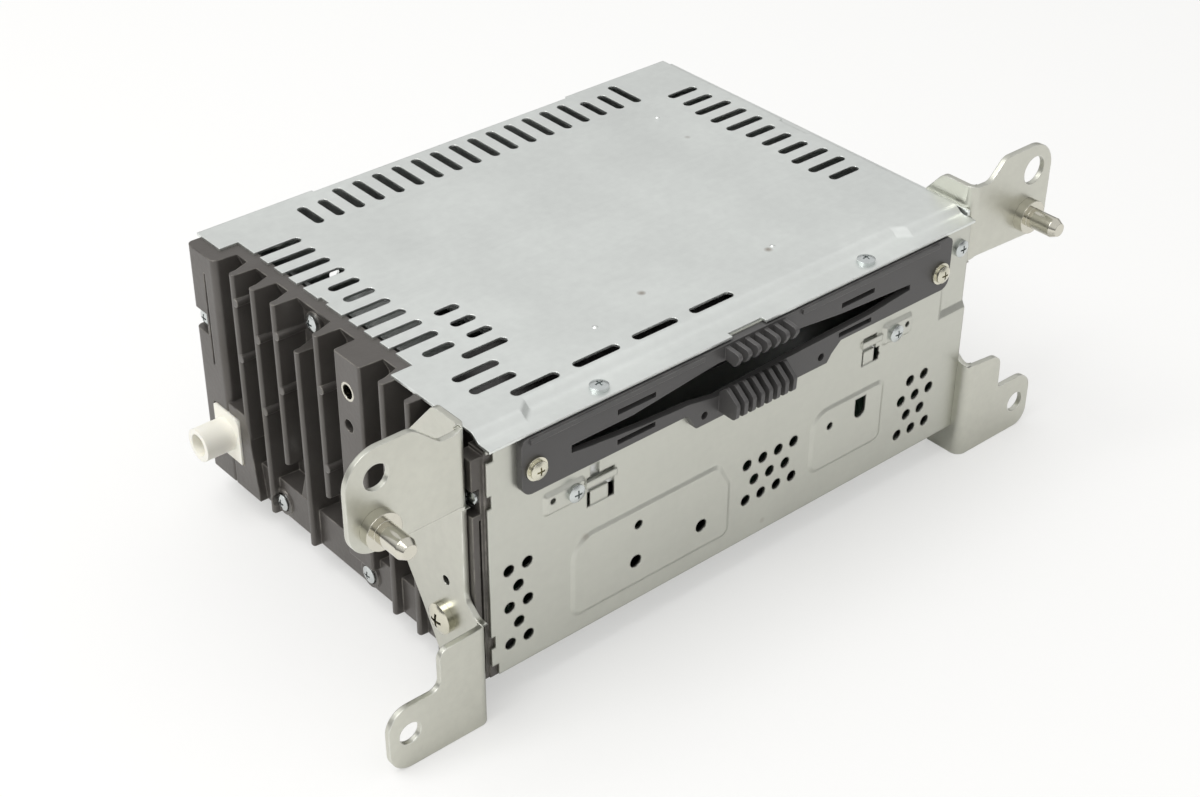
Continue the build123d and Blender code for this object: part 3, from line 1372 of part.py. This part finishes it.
with BuildPart() as motor_shaft:
    rod(
        (deck_right - 4.0, pinion_y, pinion_z), (gear_left + gear_face + 0.5, pinion_y, pinion_z), 0.8
    )
motor_shaft.part.label = "motor_shaft"
export_step(motor_shaft.part, "parts/motor_shaft.step")

with BuildPart() as loading_motor:
    rod(
        (deck_right - deck_sheet - loading_motor_length, pinion_y, pinion_z),
        (deck_right - deck_sheet, pinion_y, pinion_z), loading_motor_radius,
    )
    rod((deck_right - deck_sheet, pinion_y, pinion_z), (deck_right, pinion_y, pinion_z), motor_boss)
    rod(
        (deck_right - 4.5, pinion_y, pinion_z), (deck_right, pinion_y, pinion_z), 0.8 + fit,
        mode=Mode.SUBTRACT,
    )
loading_motor.part.label = "loading_motor"
export_step(loading_motor.part, "parts/loading_motor.step")

# Traverse: a plate on rubber dampers with the spindle and the pickup
damper_height = 3.5
damper_radius = 4.0
traverse_sheet = 1.2
traverse_under = deck_floor + damper_height
traverse_top = traverse_under + traverse_sheet
traverse = (disc_x - 32.0, disc_x + 69.0, pinion_y + loading_motor_radius + 1.3, disc_y + 38.0)
damper_points = [
    (traverse[0] + 5.0, traverse[2] + 5.0), (traverse[0] + 5.0, traverse[3] - 5.0),
    (traverse[1] - 5.0, traverse[2] + 5.0), (traverse[1] - 5.0, traverse[3] - 5.0),
]
spindle_motor_radius = 12.0
spindle_motor_height = 6.0
spindle_radius = 1.5
turntable_radius = 14.0
rod_radius = 1.5
rod_z = traverse_top + 2.6
rod_offset = 15.0
saddles = ((disc_x + 12.5, disc_x + 15.5), (disc_x + 64.5, disc_x + 68.5))
sled_rest = disc_x + 24.0
sled_half = 6.0
screw_y = disc_y + 25.0
lead_radius = 1.4
sled_motor_radius = 5.0

with BuildPart() as deck_dampers:
    for x, y in damper_points:
        rod((x, y, deck_floor), (x, y, traverse_under), damper_radius)
deck_dampers.part.label = "deck_dampers"
export_step(deck_dampers.part, "parts/deck_dampers.step")

with BuildPart() as traverse_plate:
    block(traverse[0], traverse[1], traverse[2], traverse[3], traverse_under, traverse_top)
    block(
        sled_rest - sled_half - 1.0, saddles[1][0] - 1.0, disc_y - 10.0, disc_y + 10.0,
        traverse_under, traverse_top, mode=Mode.SUBTRACT,
    )
    block(
        disc_x - 4.0, saddles[0][0], screw_y - sled_motor_radius - 0.4,
        screw_y + sled_motor_radius + 0.4, traverse_under, traverse_top, mode=Mode.SUBTRACT,
    )
    rod((disc_x, disc_y, traverse_under), (disc_x, disc_y, traverse_top), 4.0, mode=Mode.SUBTRACT)
    for x0, x1 in saddles:
        for y in (disc_y - rod_offset, disc_y + rod_offset):
            block(x0, x1, y - 2.5, y + 2.5, traverse_top, rod_z + 2.5)
            rod((x0, y, rod_z), (x1, y, rod_z), rod_radius + press_fit, mode=Mode.SUBTRACT)
        block(x0, x1, screw_y - 2.5, screw_y + 2.5, traverse_top, rod_z + 2.5)
        rod((x0, screw_y, rod_z), (x1, screw_y, rod_z), lead_radius + fit, mode=Mode.SUBTRACT)
traverse_plate.part.label = "traverse_plate"
export_step(traverse_plate.part, "parts/traverse_plate.step")

with BuildPart() as spindle_motor:
    rod(
        (disc_x, disc_y, traverse_under - spindle_motor_height), (disc_x, disc_y, traverse_under),
        spindle_motor_radius,
    )
    rod((disc_x, disc_y, traverse_under), (disc_x, disc_y, traverse_top + 1.0), 3.9)
    rod(
        (disc_x, disc_y, traverse_under - 4.0), (disc_x, disc_y, traverse_top + 1.0), spindle_radius + fit,
        mode=Mode.SUBTRACT,
    )
spindle_motor.part.label = "spindle_motor"
export_step(spindle_motor.part, "parts/spindle_motor.step")

with BuildPart() as turntable:
    rod((disc_x, disc_y, traverse_under - 3.5), (disc_x, disc_y, disc_seat - 3.0), spindle_radius)
    rod((disc_x, disc_y, disc_seat - 3.0), (disc_x, disc_y, disc_seat), turntable_radius)
    rod((disc_x, disc_y, disc_seat), (disc_x, disc_y, disc_seat + 1.8), 7.4, end_radius=6.2)
turntable.part.label = "turntable"
export_step(turntable.part, "parts/turntable.step")

with BuildPart() as guide_rods:
    for y in (disc_y - rod_offset, disc_y + rod_offset):
        rod((saddles[0][0], y, rod_z), (saddles[1][1], y, rod_z), rod_radius)
guide_rods.part.label = "guide_rods"
export_step(guide_rods.part, "parts/guide_rods.step")

with BuildPart() as pickup_sled:
    block(
        sled_rest - sled_half, sled_rest + sled_half, disc_y - rod_offset - 3.0, disc_y + rod_offset + 3.0,
        traverse_top + 0.5, rod_z + 3.0,
    )
    block(
        sled_rest - sled_half, sled_rest + sled_half, disc_y - 8.0, disc_y + 8.0,
        rod_z + 3.0, rod_z + 5.0,
    )
    block(
        sled_rest - 2.5, sled_rest + 2.5, disc_y + rod_offset + 3.0, screw_y + 2.6,
        traverse_top + 0.5, rod_z + 2.6,
    )
    for y in (disc_y - rod_offset, disc_y + rod_offset):
        rod(
            (sled_rest - sled_half, y, rod_z), (sled_rest + sled_half, y, rod_z), rod_radius + fit,
            mode=Mode.SUBTRACT,
        )
    rod(
        (sled_rest - sled_half, screw_y, rod_z), (sled_rest + sled_half, screw_y, rod_z),
        lead_radius + fit, mode=Mode.SUBTRACT,
    )
pickup_sled.part.label = "pickup_sled"
export_step(pickup_sled.part, "parts/pickup_sled.step")

with BuildPart() as pickup_lens:
    rod((sled_rest, disc_y, rod_z + 5.0), (sled_rest, disc_y, rod_z + 6.0), 3.0)
    rod((sled_rest, disc_y, rod_z + 6.0), (sled_rest, disc_y, rod_z + 6.6), 2.2, end_radius=1.2)
pickup_lens.part.label = "pickup_lens"
export_step(pickup_lens.part, "parts/pickup_lens.step")

with BuildPart() as lead_screw:
    rod((saddles[0][0] - 1.5, screw_y, rod_z), (saddles[1][1], screw_y, rod_z), lead_radius)
lead_screw.part.label = "lead_screw"
export_step(lead_screw.part, "parts/lead_screw.step")

with BuildPart() as sled_motor:
    rod(
        (disc_x - 3.0, screw_y, rod_z), (saddles[0][0], screw_y, rod_z), sled_motor_radius
    )
    rod(
        (saddles[0][0] - 2.0, screw_y, rod_z), (saddles[0][0], screw_y, rod_z), lead_radius + fit,
        mode=Mode.SUBTRACT,
    )
sled_motor.part.label = "sled_motor"
export_step(sled_motor.part, "parts/sled_motor.step")

# Clamp: an arm hinged at the back of the deck that lowers the clamper onto the disc
arm_sheet = 1.2
arm_low = clamp_pivot_z - 0.6
arm_half_back = 30.0
arm_half_front = 13.0
arm_front = disc_y - 12.0
hub_radius = 5.0
clamper_radius = 13.0

with BuildPart() as clamp_arm:
    prism(
        [(disc_x - arm_half_back, clamp_pivot_y - 10.0), (disc_x - arm_half_front, arm_front, 3.0),
         (disc_x + arm_half_front, arm_front, 3.0), (disc_x + arm_half_back, clamp_pivot_y - 10.0),
         (disc_x + arm_half_back, clamp_pivot_y - 3.0), (disc_x - arm_half_back, clamp_pivot_y - 3.0)],
        "z", arm_low, arm_low + arm_sheet,
    )
    rod(
        (disc_x, disc_y, arm_low), (disc_x, disc_y, arm_low + arm_sheet), hub_radius + 1.5,
        mode=Mode.SUBTRACT,
    )
    for x0 in (disc_x - arm_half_back, disc_x + arm_half_back - arm_sheet):
        block(x0, x0 + arm_sheet, clamp_pivot_y - 10.0, clamp_pivot_y + 3.0, arm_low - 1.9, arm_low + 3.1)
        rod(
            (x0, clamp_pivot_y, clamp_pivot_z), (x0 + arm_sheet, clamp_pivot_y, clamp_pivot_z),
            pivot_radius + fit, mode=Mode.SUBTRACT,
        )
clamp_arm.part.label = "clamp_arm"
export_step(clamp_arm.part, "parts/clamp_arm.step")

with BuildPart() as clamp_pivot_pin:
    rod(
        (deck_left - 0.8, clamp_pivot_y, clamp_pivot_z), (deck_right + 0.8, clamp_pivot_y, clamp_pivot_z),
        pivot_radius,
    )
clamp_pivot_pin.part.label = "clamp_pivot_pin"
export_step(clamp_pivot_pin.part, "parts/clamp_pivot_pin.step")

with BuildPart() as clamper:
    rod((disc_x, disc_y, arm_low - 3.2), (disc_x, disc_y, arm_low - 0.4), clamper_radius)
    rod((disc_x, disc_y, arm_low - 0.4), (disc_x, disc_y, arm_low + arm_sheet), hub_radius)
    rod(
        (disc_x, disc_y, arm_low + arm_sheet), (disc_x, disc_y, arm_low + arm_sheet + 1.2),
        hub_radius + 3.0,
    )
    rod((disc_x, disc_y, arm_low - 3.2), (disc_x, disc_y, arm_low - 2.4), 7.8, mode=Mode.SUBTRACT)
clamper.part.label = "clamper"
export_step(clamper.part, "parts/clamper.step")
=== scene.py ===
import math

import bpy
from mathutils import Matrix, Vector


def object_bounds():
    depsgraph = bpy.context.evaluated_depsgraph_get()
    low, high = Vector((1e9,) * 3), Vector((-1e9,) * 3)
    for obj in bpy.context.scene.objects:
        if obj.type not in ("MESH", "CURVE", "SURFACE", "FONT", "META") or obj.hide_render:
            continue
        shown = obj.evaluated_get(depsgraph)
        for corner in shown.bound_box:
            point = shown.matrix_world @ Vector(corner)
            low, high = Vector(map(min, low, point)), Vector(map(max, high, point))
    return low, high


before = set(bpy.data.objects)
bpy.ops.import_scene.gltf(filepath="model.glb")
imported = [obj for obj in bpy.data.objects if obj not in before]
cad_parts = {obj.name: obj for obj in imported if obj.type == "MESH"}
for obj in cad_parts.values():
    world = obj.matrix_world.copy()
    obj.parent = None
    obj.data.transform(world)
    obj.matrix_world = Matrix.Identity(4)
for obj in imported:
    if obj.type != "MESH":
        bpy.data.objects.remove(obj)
size_at_load = [list(corner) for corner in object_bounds()]

# Case: lid, right wall, bottom and rear panel of galvanised sheet steel, folded and punched. The lid
# is slotted and pressed down along its front edge, and screws hold it to the front panel and to the
# heatsink. The zinc has dulled to a soft mottled grey with small rust specks.
bevel_samples = 6
relief_height = 0.0001


def new_group(name, inputs, outputs):
    # an empty shader group, with what it is given, what it puts out and the piece's own coordinates
    group = bpy.data.node_groups.new(name, "ShaderNodeTree")
    for label, kind in inputs.items():
        group.interface.new_socket(label, in_out="INPUT", socket_type="NodeSocket" + kind)
    for label, kind in outputs.items():
        group.interface.new_socket(label, in_out="OUTPUT", socket_type="NodeSocket" + kind)
    given = group.nodes.new("NodeGroupInput")
    result = group.nodes.new("NodeGroupOutput")
    place = group.nodes.new("ShaderNodeTexCoord")
    return group, given.outputs, result.inputs, place.outputs["Object"]


def feed(tree, socket, value):
    # a socket takes another node's output or a plain value
    if isinstance(value, bpy.types.NodeSocket):
        tree.links.new(value, socket)
    else:
        socket.default_value = value


def noise(tree, place, scale, detail, stretch=None):
    # cloudy noise from 0 to 1, drawn out along an axis where a stretch is given
    texture = tree.nodes.new("ShaderNodeTexNoise")
    feed(tree, texture.inputs["Scale"], scale)
    feed(tree, texture.inputs["Detail"], detail)
    if stretch:
        mapping = tree.nodes.new("ShaderNodeMapping")
        feed(tree, mapping.inputs["Scale"], stretch)
        feed(tree, mapping.inputs["Vector"], place)
        place = mapping.outputs["Vector"]
    feed(tree, texture.inputs["Vector"], place)
    return texture.outputs["Fac"]


def calculate(tree, operation, *values):
    # one step of arithmetic on numbers or on other nodes' outputs
    node = tree.nodes.new("ShaderNodeMath")
    node.operation = operation
    for socket, value in zip(node.inputs, values):
        feed(tree, socket, value)
    return node.outputs["Value"]


def ramp(tree, value, low, high, at_low=0.0, at_high=1.0, curve="LINEAR"):
    # runs from one level to the other while the value passes from low to high, and stays level outside
    node = tree.nodes.new("ShaderNodeMapRange")
    node.interpolation_type = curve
    feed(tree, node.inputs["Value"], value)
    feed(tree, node.inputs["From Min"], low)
    feed(tree, node.inputs["From Max"], high)
    feed(tree, node.inputs["To Min"], at_low)
    feed(tree, node.inputs["To Max"], at_high)
    return node.outputs["Result"]


def mix_colours(tree, share, under, over, blend="MIX"):
    # lays a share of the second colour over the first
    node = tree.nodes.new("ShaderNodeMix")
    node.data_type = "RGBA"
    node.blend_type = blend
    feed(tree, node.inputs["Factor"], share)
    feed(tree, node.inputs["A"], under)
    feed(tree, node.inputs["B"], over)
    return node.outputs["Result"]


def rounded_normal(tree, radius):
    # the normal of a surface whose sharp edges are softened by a small radius
    rounded = tree.nodes.new("ShaderNodeBevel")
    rounded.samples = bevel_samples
    feed(tree, rounded.inputs["Radius"], radius)
    return rounded.outputs["Normal"]


def sheet_metal_group():
    # mottled zinc with faint rolling lines, a fine grain and small rust specks
    rust_colour = (0.20, 0.13, 0.08, 1)
    rust_cells = 46
    roughness_swing = 0.22
    fleck_height = 1.5
    group, given, result, place = new_group(
        "sheet_metal",
        {"Tint": "Color", "Mottle": "Float", "Lines": "Float", "Specks": "Float", "Roughness": "Float"},
        {"Color": "Color", "Roughness": "Float", "Height": "Float"},
    )
    clouds = noise(group, place, scale=30, detail=6)
    flecks = noise(group, place, scale=420, detail=3)
    grain = noise(group, place, scale=1500, detail=2)
    rolled = noise(group, place, scale=1, detail=3, stretch=(14, 700, 700))

    # noise lies around a half, so taking off 0.75 and 0.5 centres the mottle and the streaks on nothing
    mottle = calculate(group, "MULTIPLY_ADD", flecks, 0.5, clouds)
    mottle = calculate(group, "SUBTRACT", mottle, 0.75)
    streak = calculate(group, "SUBTRACT", rolled, 0.5)
    shade = calculate(group, "MULTIPLY_ADD", mottle, given["Mottle"], 1.0)
    shade = calculate(group, "MULTIPLY_ADD", streak, given["Lines"], shade)
    zinc = mix_colours(group, 1.0, given["Tint"], shade, "MULTIPLY")

    # rust specks sit at the middle of loose cells, where the zinc is cloudy
    cells = group.nodes.new("ShaderNodeTexVoronoi")
    feed(group, cells.inputs["Scale"], rust_cells)
    feed(group, cells.inputs["Vector"], place)
    dots = ramp(group, cells.outputs["Distance"], low=0.02, high=0.07, at_low=1, at_high=0)
    cloudy = ramp(group, clouds, low=0.52, high=0.60)
    specks = calculate(group, "MULTIPLY", dots, cloudy)
    specks = calculate(group, "MULTIPLY", specks, given["Specks"])
    feed(group, result["Color"], mix_colours(group, specks, zinc, rust_colour))

    roughness = calculate(group, "MULTIPLY_ADD", mottle, roughness_swing, given["Roughness"])
    feed(group, result["Roughness"], roughness)
    relief = calculate(group, "MULTIPLY_ADD", rolled, given["Lines"], grain)
    feed(group, result["Height"], calculate(group, "MULTIPLY_ADD", flecks, fleck_height, relief))
    return group


def make_finish(name, group, settings, metallic, bump, edge, coat=0.0):
    # a Principled surface whose marks come from a group, with softly rounded edges and a fine relief
    material = bpy.data.materials.new(name)
    material.use_nodes = True
    tree = material.node_tree
    surface = tree.nodes["Principled BSDF"]
    surface.inputs["Metallic"].default_value = metallic
    surface.inputs["Coat Weight"].default_value = coat
    marks = tree.nodes.new("ShaderNodeGroup")
    marks.node_tree = group
    for label, value in settings.items():
        marks.inputs[label].default_value = value
    feed(tree, surface.inputs["Base Color"], marks.outputs["Color"])
    feed(tree, surface.inputs["Roughness"], marks.outputs["Roughness"])
    relief = tree.nodes.new("ShaderNodeBump")
    relief.inputs["Strength"].default_value = bump
    relief.inputs["Distance"].default_value = relief_height
    feed(tree, relief.inputs["Height"], marks.outputs["Height"])
    feed(tree, relief.inputs["Normal"], rounded_normal(tree, edge))
    feed(tree, surface.inputs["Normal"], relief.outputs["Normal"])
    return material


def paint(material, *names):
    # gives the named pieces one material all over
    for name in names:
        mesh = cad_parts[name].data
        mesh.materials.clear()
        mesh.materials.append(material)


sheet_metal = sheet_metal_group()
galvanised = make_finish(
    "galvanised", sheet_metal,
    {"Tint": (0.81, 0.835, 0.81, 1), "Mottle": 0.17, "Lines": 0.04, "Specks": 0.8, "Roughness": 0.44},
    metallic=1.0, bump=0.14, edge=0.0004,
)
paint(galvanised, "top_cover", "right_side_panel", "bottom_plate", "rear_panel")

# Deck, motors, shafts and cans inside the case: pressed and turned steel, with aluminium capacitor
# cans and a tinned screen over the processor. The deck is screwed to the front panel and stands on two
# posts, and it is seen only through the slots, the vents and the disc opening.
inner_steel = make_finish(
    "inner_steel", sheet_metal,
    {"Tint": (0.60, 0.61, 0.60, 1), "Mottle": 0.10, "Lines": 0.05, "Specks": 0.0, "Roughness": 0.34},
    metallic=1.0, bump=0.08, edge=0.0003,
)
paint(
    inner_steel, "deck_frame", "deck_posts", "traverse_plate", "clamp_arm", "clamp_pivot_pin",
    "lever_pivot_pins", "roller_shaft", "guide_rods", "lead_screw", "idler_pin", "motor_shaft",
    "board_standoffs", "chip_clamp", "processor_shield", "loading_motor", "spindle_motor",
    "sled_motor", "tuner_module", "filter_capacitors",
)

# Main board: glass-fibre laminate under a glossy green lacquer, on standoffs over the bottom plate.
# Like the plastics and the casting, it has a fine even grain with patches that are worn paler.


def fine_texture_group():
    # an even grain, as on a moulding or a coated casting, under patches that have worn paler
    worn_colour = (0.32, 0.31, 0.30, 1)
    roughness_swing = 0.15
    group, given, result, place = new_group(
        "fine_texture",
        {"Tint": "Color", "Wear": "Float", "Roughness": "Float", "Grain": "Float", "Depth": "Float"},
        {"Color": "Color", "Roughness": "Float", "Height": "Float"},
    )
    grain = noise(group, place, scale=given["Grain"], detail=4)
    patches = noise(group, place, scale=60, detail=6)
    share = calculate(group, "MULTIPLY", patches, given["Wear"])
    feed(group, result["Color"], mix_colours(group, share, given["Tint"], worn_colour))
    roughness = calculate(group, "MULTIPLY_ADD", patches, roughness_swing, given["Roughness"])
    feed(group, result["Roughness"], roughness)
    feed(group, result["Height"], calculate(group, "MULTIPLY", grain, given["Depth"]))
    return group


fine_texture = fine_texture_group()
moulded_grain = {"Grain": 1400, "Depth": 1.0}
board_green = make_finish(
    "board_green", fine_texture,
    {"Tint": (0.02, 0.10, 0.045, 1), "Wear": 0.05, "Roughness": 0.30, **moulded_grain},
    metallic=0.0, bump=0.2, edge=0.0002, coat=0.3,
)
paint(board_green, "main_board")

# Dampers and loading roller: black rubber. The dampers are moulded studs between the deck and the
# plate that carries the spindle, and the roller is a sleeve that is pressed on its steel shaft.
black_rubber = make_finish(
    "black_rubber", fine_texture,
    {"Tint": (0.02, 0.02, 0.02, 1), "Wear": 0.05, "Roughness": 0.6, **moulded_grain},
    metallic=0.0, bump=0.3, edge=0.0003,
)
paint(black_rubber, "deck_dampers", "loading_roller")

# Pickup lens: a small bead of clear plastic with a bluish coating, set in the top of the pickup sled
# and facing up to the disc.
lens_glass = make_finish(
    "lens_glass", fine_texture,
    {"Tint": (0.50, 0.62, 0.75, 1), "Wear": 0.0, "Roughness": 0.04, **moulded_grain},
    metallic=0.0, bump=0.0, edge=0.0002, coat=0.6,
)
paint(lens_glass, "pickup_lens")

# Front panel: zinc-plated steel, folded from one sheet and punched with vents. It is darker and a
# little yellower than the lid. Screws through its two pads hold it to the deck, and one in a small
# recess at the right holds it to the side wall.
panel_steel = make_finish(
    "panel_steel", sheet_metal,
    {"Tint": (0.575, 0.58, 0.525, 1), "Mottle": 0.18, "Lines": 0.03, "Specks": 0.4, "Roughness": 0.37},
    metallic=1.0, bump=0.07, edge=0.0007,
)
paint(panel_steel, "front_panel")

# Disc slot guide and the other dark mouldings: glass-filled plastic with a fine spark-eroded texture.
# Two flanged screws hold the guide to the front panel. Its edges are painted a little paler, partly as
# wear and partly as a painted highlight.


def pale_edge_wear_and_highlight_group():
    # patchy pale strips along the edges: partly wear, where a finish rubs pale or bright first, and
    # partly a painted highlight along the edges
    group, given, result, place = new_group(
        "pale_edge_wear_and_highlight",
        {"Color": "Color", "WearAndHighlight": "Color", "Width": "Float", "Amount": "Float"},
        {"Color": "Color"},
    )
    flat = group.nodes.new("ShaderNodeNewGeometry")
    turned = group.nodes.new("ShaderNodeVectorMath")
    turned.operation = "DOT_PRODUCT"
    feed(group, turned.inputs[0], rounded_normal(group, given["Width"]))
    feed(group, turned.inputs[1], flat.outputs["Normal"])
    # painted highlight and wear: the mask picks out rounded edges, where the colour is made paler
    edges = ramp(group, turned.outputs["Value"], low=0.985, high=0.86)
    patches = noise(group, place, scale=180, detail=5)
    share = calculate(group, "MULTIPLY", edges, ramp(group, patches, low=0.38, high=0.62))
    share = calculate(group, "MULTIPLY", share, given["Amount"])
    feed(group, result["Color"], mix_colours(group, share, given["Color"], given["WearAndHighlight"]))
    return group


def paint_edge_wear_and_highlight(material, edge_wear_and_highlight, width, amount):
    # lays the pale edges, partly wear and partly a painted highlight, over the colour that a material
    # already has
    tree = material.node_tree
    colour = tree.nodes["Principled BSDF"].inputs["Base Color"]
    source = colour.links[0].from_socket
    worn_and_highlit_edges = tree.nodes.new("ShaderNodeGroup")
    worn_and_highlit_edges.node_tree = pale_edge_wear_and_highlight
    worn_and_highlit_edges.inputs["WearAndHighlight"].default_value = edge_wear_and_highlight
    worn_and_highlit_edges.inputs["Width"].default_value = width
    worn_and_highlit_edges.inputs["Amount"].default_value = amount
    feed(tree, worn_and_highlit_edges.inputs["Color"], source)
    feed(tree, colour, worn_and_highlit_edges.outputs["Color"])


pale_edge_wear_and_highlight = pale_edge_wear_and_highlight_group()
dark_plastic = make_finish(
    "dark_plastic", fine_texture,
    {"Tint": (0.066, 0.064, 0.063, 1), "Wear": 0.07, "Roughness": 0.33, **moulded_grain},
    metallic=0.0, bump=0.25, edge=0.0003,
)
# the edges are painted a little paler: partly wear and partly a painted highlight
paint_edge_wear_and_highlight(dark_plastic, edge_wear_and_highlight=(0.26, 0.25, 0.24, 1), width=0.0004, amount=0.5)
paint(
    dark_plastic, "disc_guide_bezel", "upper_disc_guide", "left_disc_lever", "right_disc_lever",
    "clamper", "turntable", "harness_connector", "video_connector", "pickup_sled", "gyro_sensor",
    "amplifier_chips",
)

# Heatsink: a finned left wall of die-cast aluminium, screwed to the case. Its brown-black coating is
# grainier than the mouldings and a little shiny. The edges of the fins are painted pale, partly as
# wear and partly as a painted highlight.
black_casting = make_finish(
    "black_casting", fine_texture,
    {"Tint": (0.072, 0.064, 0.056, 1), "Wear": 0.28, "Roughness": 0.25, "Grain": 700, "Depth": 1.6},
    metallic=0.40, bump=0.4, edge=0.0006,
)
paint_edge_wear_and_highlight(black_casting, edge_wear_and_highlight=(0.36, 0.34, 0.30, 1), width=0.0007, amount=0.7)
paint(black_casting, "side_heatsink")

# Locating stud: natural nylon, waxy and slightly see-through, pressed into the rear of the heatsink.
# The roller's gears and bushes and the two aerial sockets are white mouldings with the same finish.
white_nylon = make_finish(
    "white_nylon", fine_texture,
    {"Tint": (0.93, 0.91, 0.82, 1), "Wear": 0.02, "Roughness": 0.30, **moulded_grain},
    metallic=0.0, bump=0.15, edge=0.0004,
)
nylon_surface = white_nylon.node_tree.nodes["Principled BSDF"]
nylon_surface.inputs["Subsurface Weight"].default_value = 0.15
nylon_surface.inputs["Subsurface Radius"].default_value = (0.002, 0.0018, 0.0014)
paint(
    white_nylon, "locating_stud", "roller_gear", "idler_gear", "motor_pinion", "roller_bushes",
    "gps_socket", "antenna_socket",
)

# Brackets: thicker steel with a clear zinc finish, each bent outwards for its upper and its lower
# flange and screwed to a side of the case. Their edges are painted bright, partly as wear and partly
# as a painted highlight.
bracket_zinc = make_finish(
    "bracket_zinc", sheet_metal,
    {"Tint": (0.60, 0.60, 0.535, 1), "Mottle": 0.30, "Lines": 0.03, "Specks": 0.2, "Roughness": 0.36},
    metallic=1.0, bump=0.14, edge=0.0004,
)
paint_edge_wear_and_highlight(bracket_zinc, edge_wear_and_highlight=(0.86, 0.87, 0.82, 1), width=0.0007, amount=0.7)
paint(bracket_zinc, "left_bracket", "right_bracket")

# Locating pins: turned steel with a warm nickel finish, riveted into the brackets' upper flanges. The
# thread insert in the heatsink has the same finish.
pin_nickel = make_finish(
    "pin_nickel", sheet_metal,
    {"Tint": (0.64, 0.62, 0.54, 1), "Mottle": 0.20, "Lines": 0.05, "Specks": 0.0, "Roughness": 0.15},
    metallic=1.0, bump=0.06, edge=0.0003,
)
paint(pin_nickel, "left_locating_pin", "right_locating_pin", "heatsink_thread_insert")

# Screws: steel pan heads with a pressed cross recess. Those of the case are bright zinc, and those of
# the slot guide and the brackets have a pale yellow tinge.
screw_zinc = make_finish(
    "screw_zinc", sheet_metal,
    {"Tint": (0.60, 0.63, 0.625, 1), "Mottle": 0.30, "Lines": 0.0, "Specks": 0.0, "Roughness": 0.20},
    metallic=1.0, bump=0.10, edge=0.00015,
)
paint(
    screw_zinc, "cover_screws", "front_panel_screws", "heatsink_screws", "rear_panel_screws",
    "board_screws",
)
screw_yellow = make_finish(
    "screw_yellow", sheet_metal,
    {"Tint": (0.68, 0.66, 0.55, 1), "Mottle": 0.26, "Lines": 0.0, "Specks": 0.0, "Roughness": 0.20},
    metallic=1.0, bump=0.10, edge=0.00015,
)
paint(screw_yellow, "bezel_screws", "left_bracket_screws", "right_bracket_screws")

# Tabletop: a sheet of off-white paper that the brackets' lower flanges stand on. It shows the camera
# a share of plain white besides its own shading, so that the background comes out white.
paper_half = 4.0
paper_gap = 0.0001
paper_level = size_at_load[0][2] - paper_gap
white_share = 0.45
floor_mesh = bpy.data.meshes.new("floor")
floor_mesh.from_pydata(
    [
        (-paper_half, -paper_half, paper_level), (paper_half, -paper_half, paper_level),
        (paper_half, paper_half, paper_level), (-paper_half, paper_half, paper_level),
    ],
    [], [(0, 1, 2, 3)],
)
floor = bpy.data.objects.new("floor", floor_mesh)
bpy.context.scene.collection.objects.link(floor)
paper = bpy.data.materials.new("paper")
paper.use_nodes = True
paper_tree = paper.node_tree
paper_surface = paper_tree.nodes["Principled BSDF"]
paper_surface.inputs["Base Color"].default_value = (0.92, 0.915, 0.905, 1)
paper_surface.inputs["Roughness"].default_value = 0.6
paper_surface.inputs["Specular IOR Level"].default_value = 0.1
plain_white = paper_tree.nodes.new("ShaderNodeEmission")
plain_white.inputs["Color"].default_value = (1.0, 1.0, 0.985, 1)
plain_white.inputs["Strength"].default_value = 0.97
rays = paper_tree.nodes.new("ShaderNodeLightPath")
blend = paper_tree.nodes.new("ShaderNodeMixShader")
seen_share = calculate(paper_tree, "MULTIPLY", rays.outputs["Is Camera Ray"], white_share)
feed(paper_tree, blend.inputs["Fac"], seen_share)
feed(paper_tree, blend.inputs[1], paper_surface.outputs["BSDF"])
feed(paper_tree, blend.inputs[2], plain_white.outputs["Emission"])
feed(paper_tree, paper_tree.nodes["Material Output"].inputs["Surface"], blend.outputs["Shader"])
floor_mesh.materials.append(paper)

# Room: white walls and ceiling that light the unit from all round, bright overhead and dim near the
# horizon, so that upright sheet metal reads darker than the lid.
horizon_light = 0.14
ceiling_light = 0.80
ceiling_from = 0.55
world = bpy.data.worlds.new("studio")
bpy.context.scene.world = world
world.use_nodes = True
room = world.node_tree
towards = room.nodes.new("ShaderNodeTexCoord")
parts = room.nodes.new("ShaderNodeSeparateXYZ")
feed(room, parts.inputs["Vector"], towards.outputs["Generated"])
strength = ramp(
    room, parts.outputs["Z"], low=0.0, high=ceiling_from,
    at_low=horizon_light, at_high=ceiling_light, curve="SMOOTHSTEP",
)
room.nodes["Background"].inputs["Color"].default_value = (1.0, 1.0, 1.0, 1)
feed(room, room.nodes["Background"].inputs["Strength"], strength)

# Softbox: one large square lamp, high on the left and turned towards the unit. It gives the soft
# shadow to the right of the case and the sheen on the lid.
softbox_place = (-0.75, 0.15, 1.3)
softbox_side = 1.0
softbox_watts = 12.0
lamp = bpy.data.lights.new("overhead", "AREA")
lamp.size = softbox_side
lamp.energy = softbox_watts
softbox = bpy.data.objects.new("overhead", lamp)
bpy.context.scene.collection.objects.link(softbox)
softbox.location = softbox_place
across, along, up = softbox_place
softbox.rotation_euler = (
    math.atan2(math.hypot(across, along), up), 0, math.atan2(-along, -across) - math.pi / 2,
)

# Camera: it stands to the front left of the unit and above it, as in the photograph. Its place, its
# turn in degrees and its lens were worked out from the edges of the case in the photograph.
camera_place = (-0.33072, -0.38744, 0.36146)
camera_turn = (55.819, -0.2993, -40.585)
lens = bpy.data.cameras.new("photo_camera")
lens.sensor_width = 36
lens.lens = 62.0999
lens.clip_start = 0.01
camera = bpy.data.objects.new("photo_camera", lens)
bpy.context.scene.collection.objects.link(camera)
camera.location = camera_place
camera.rotation_euler = [math.radians(angle) for angle in camera_turn]
bpy.context.scene.camera = camera
bpy.context.scene.view_settings.view_transform = "Standard"
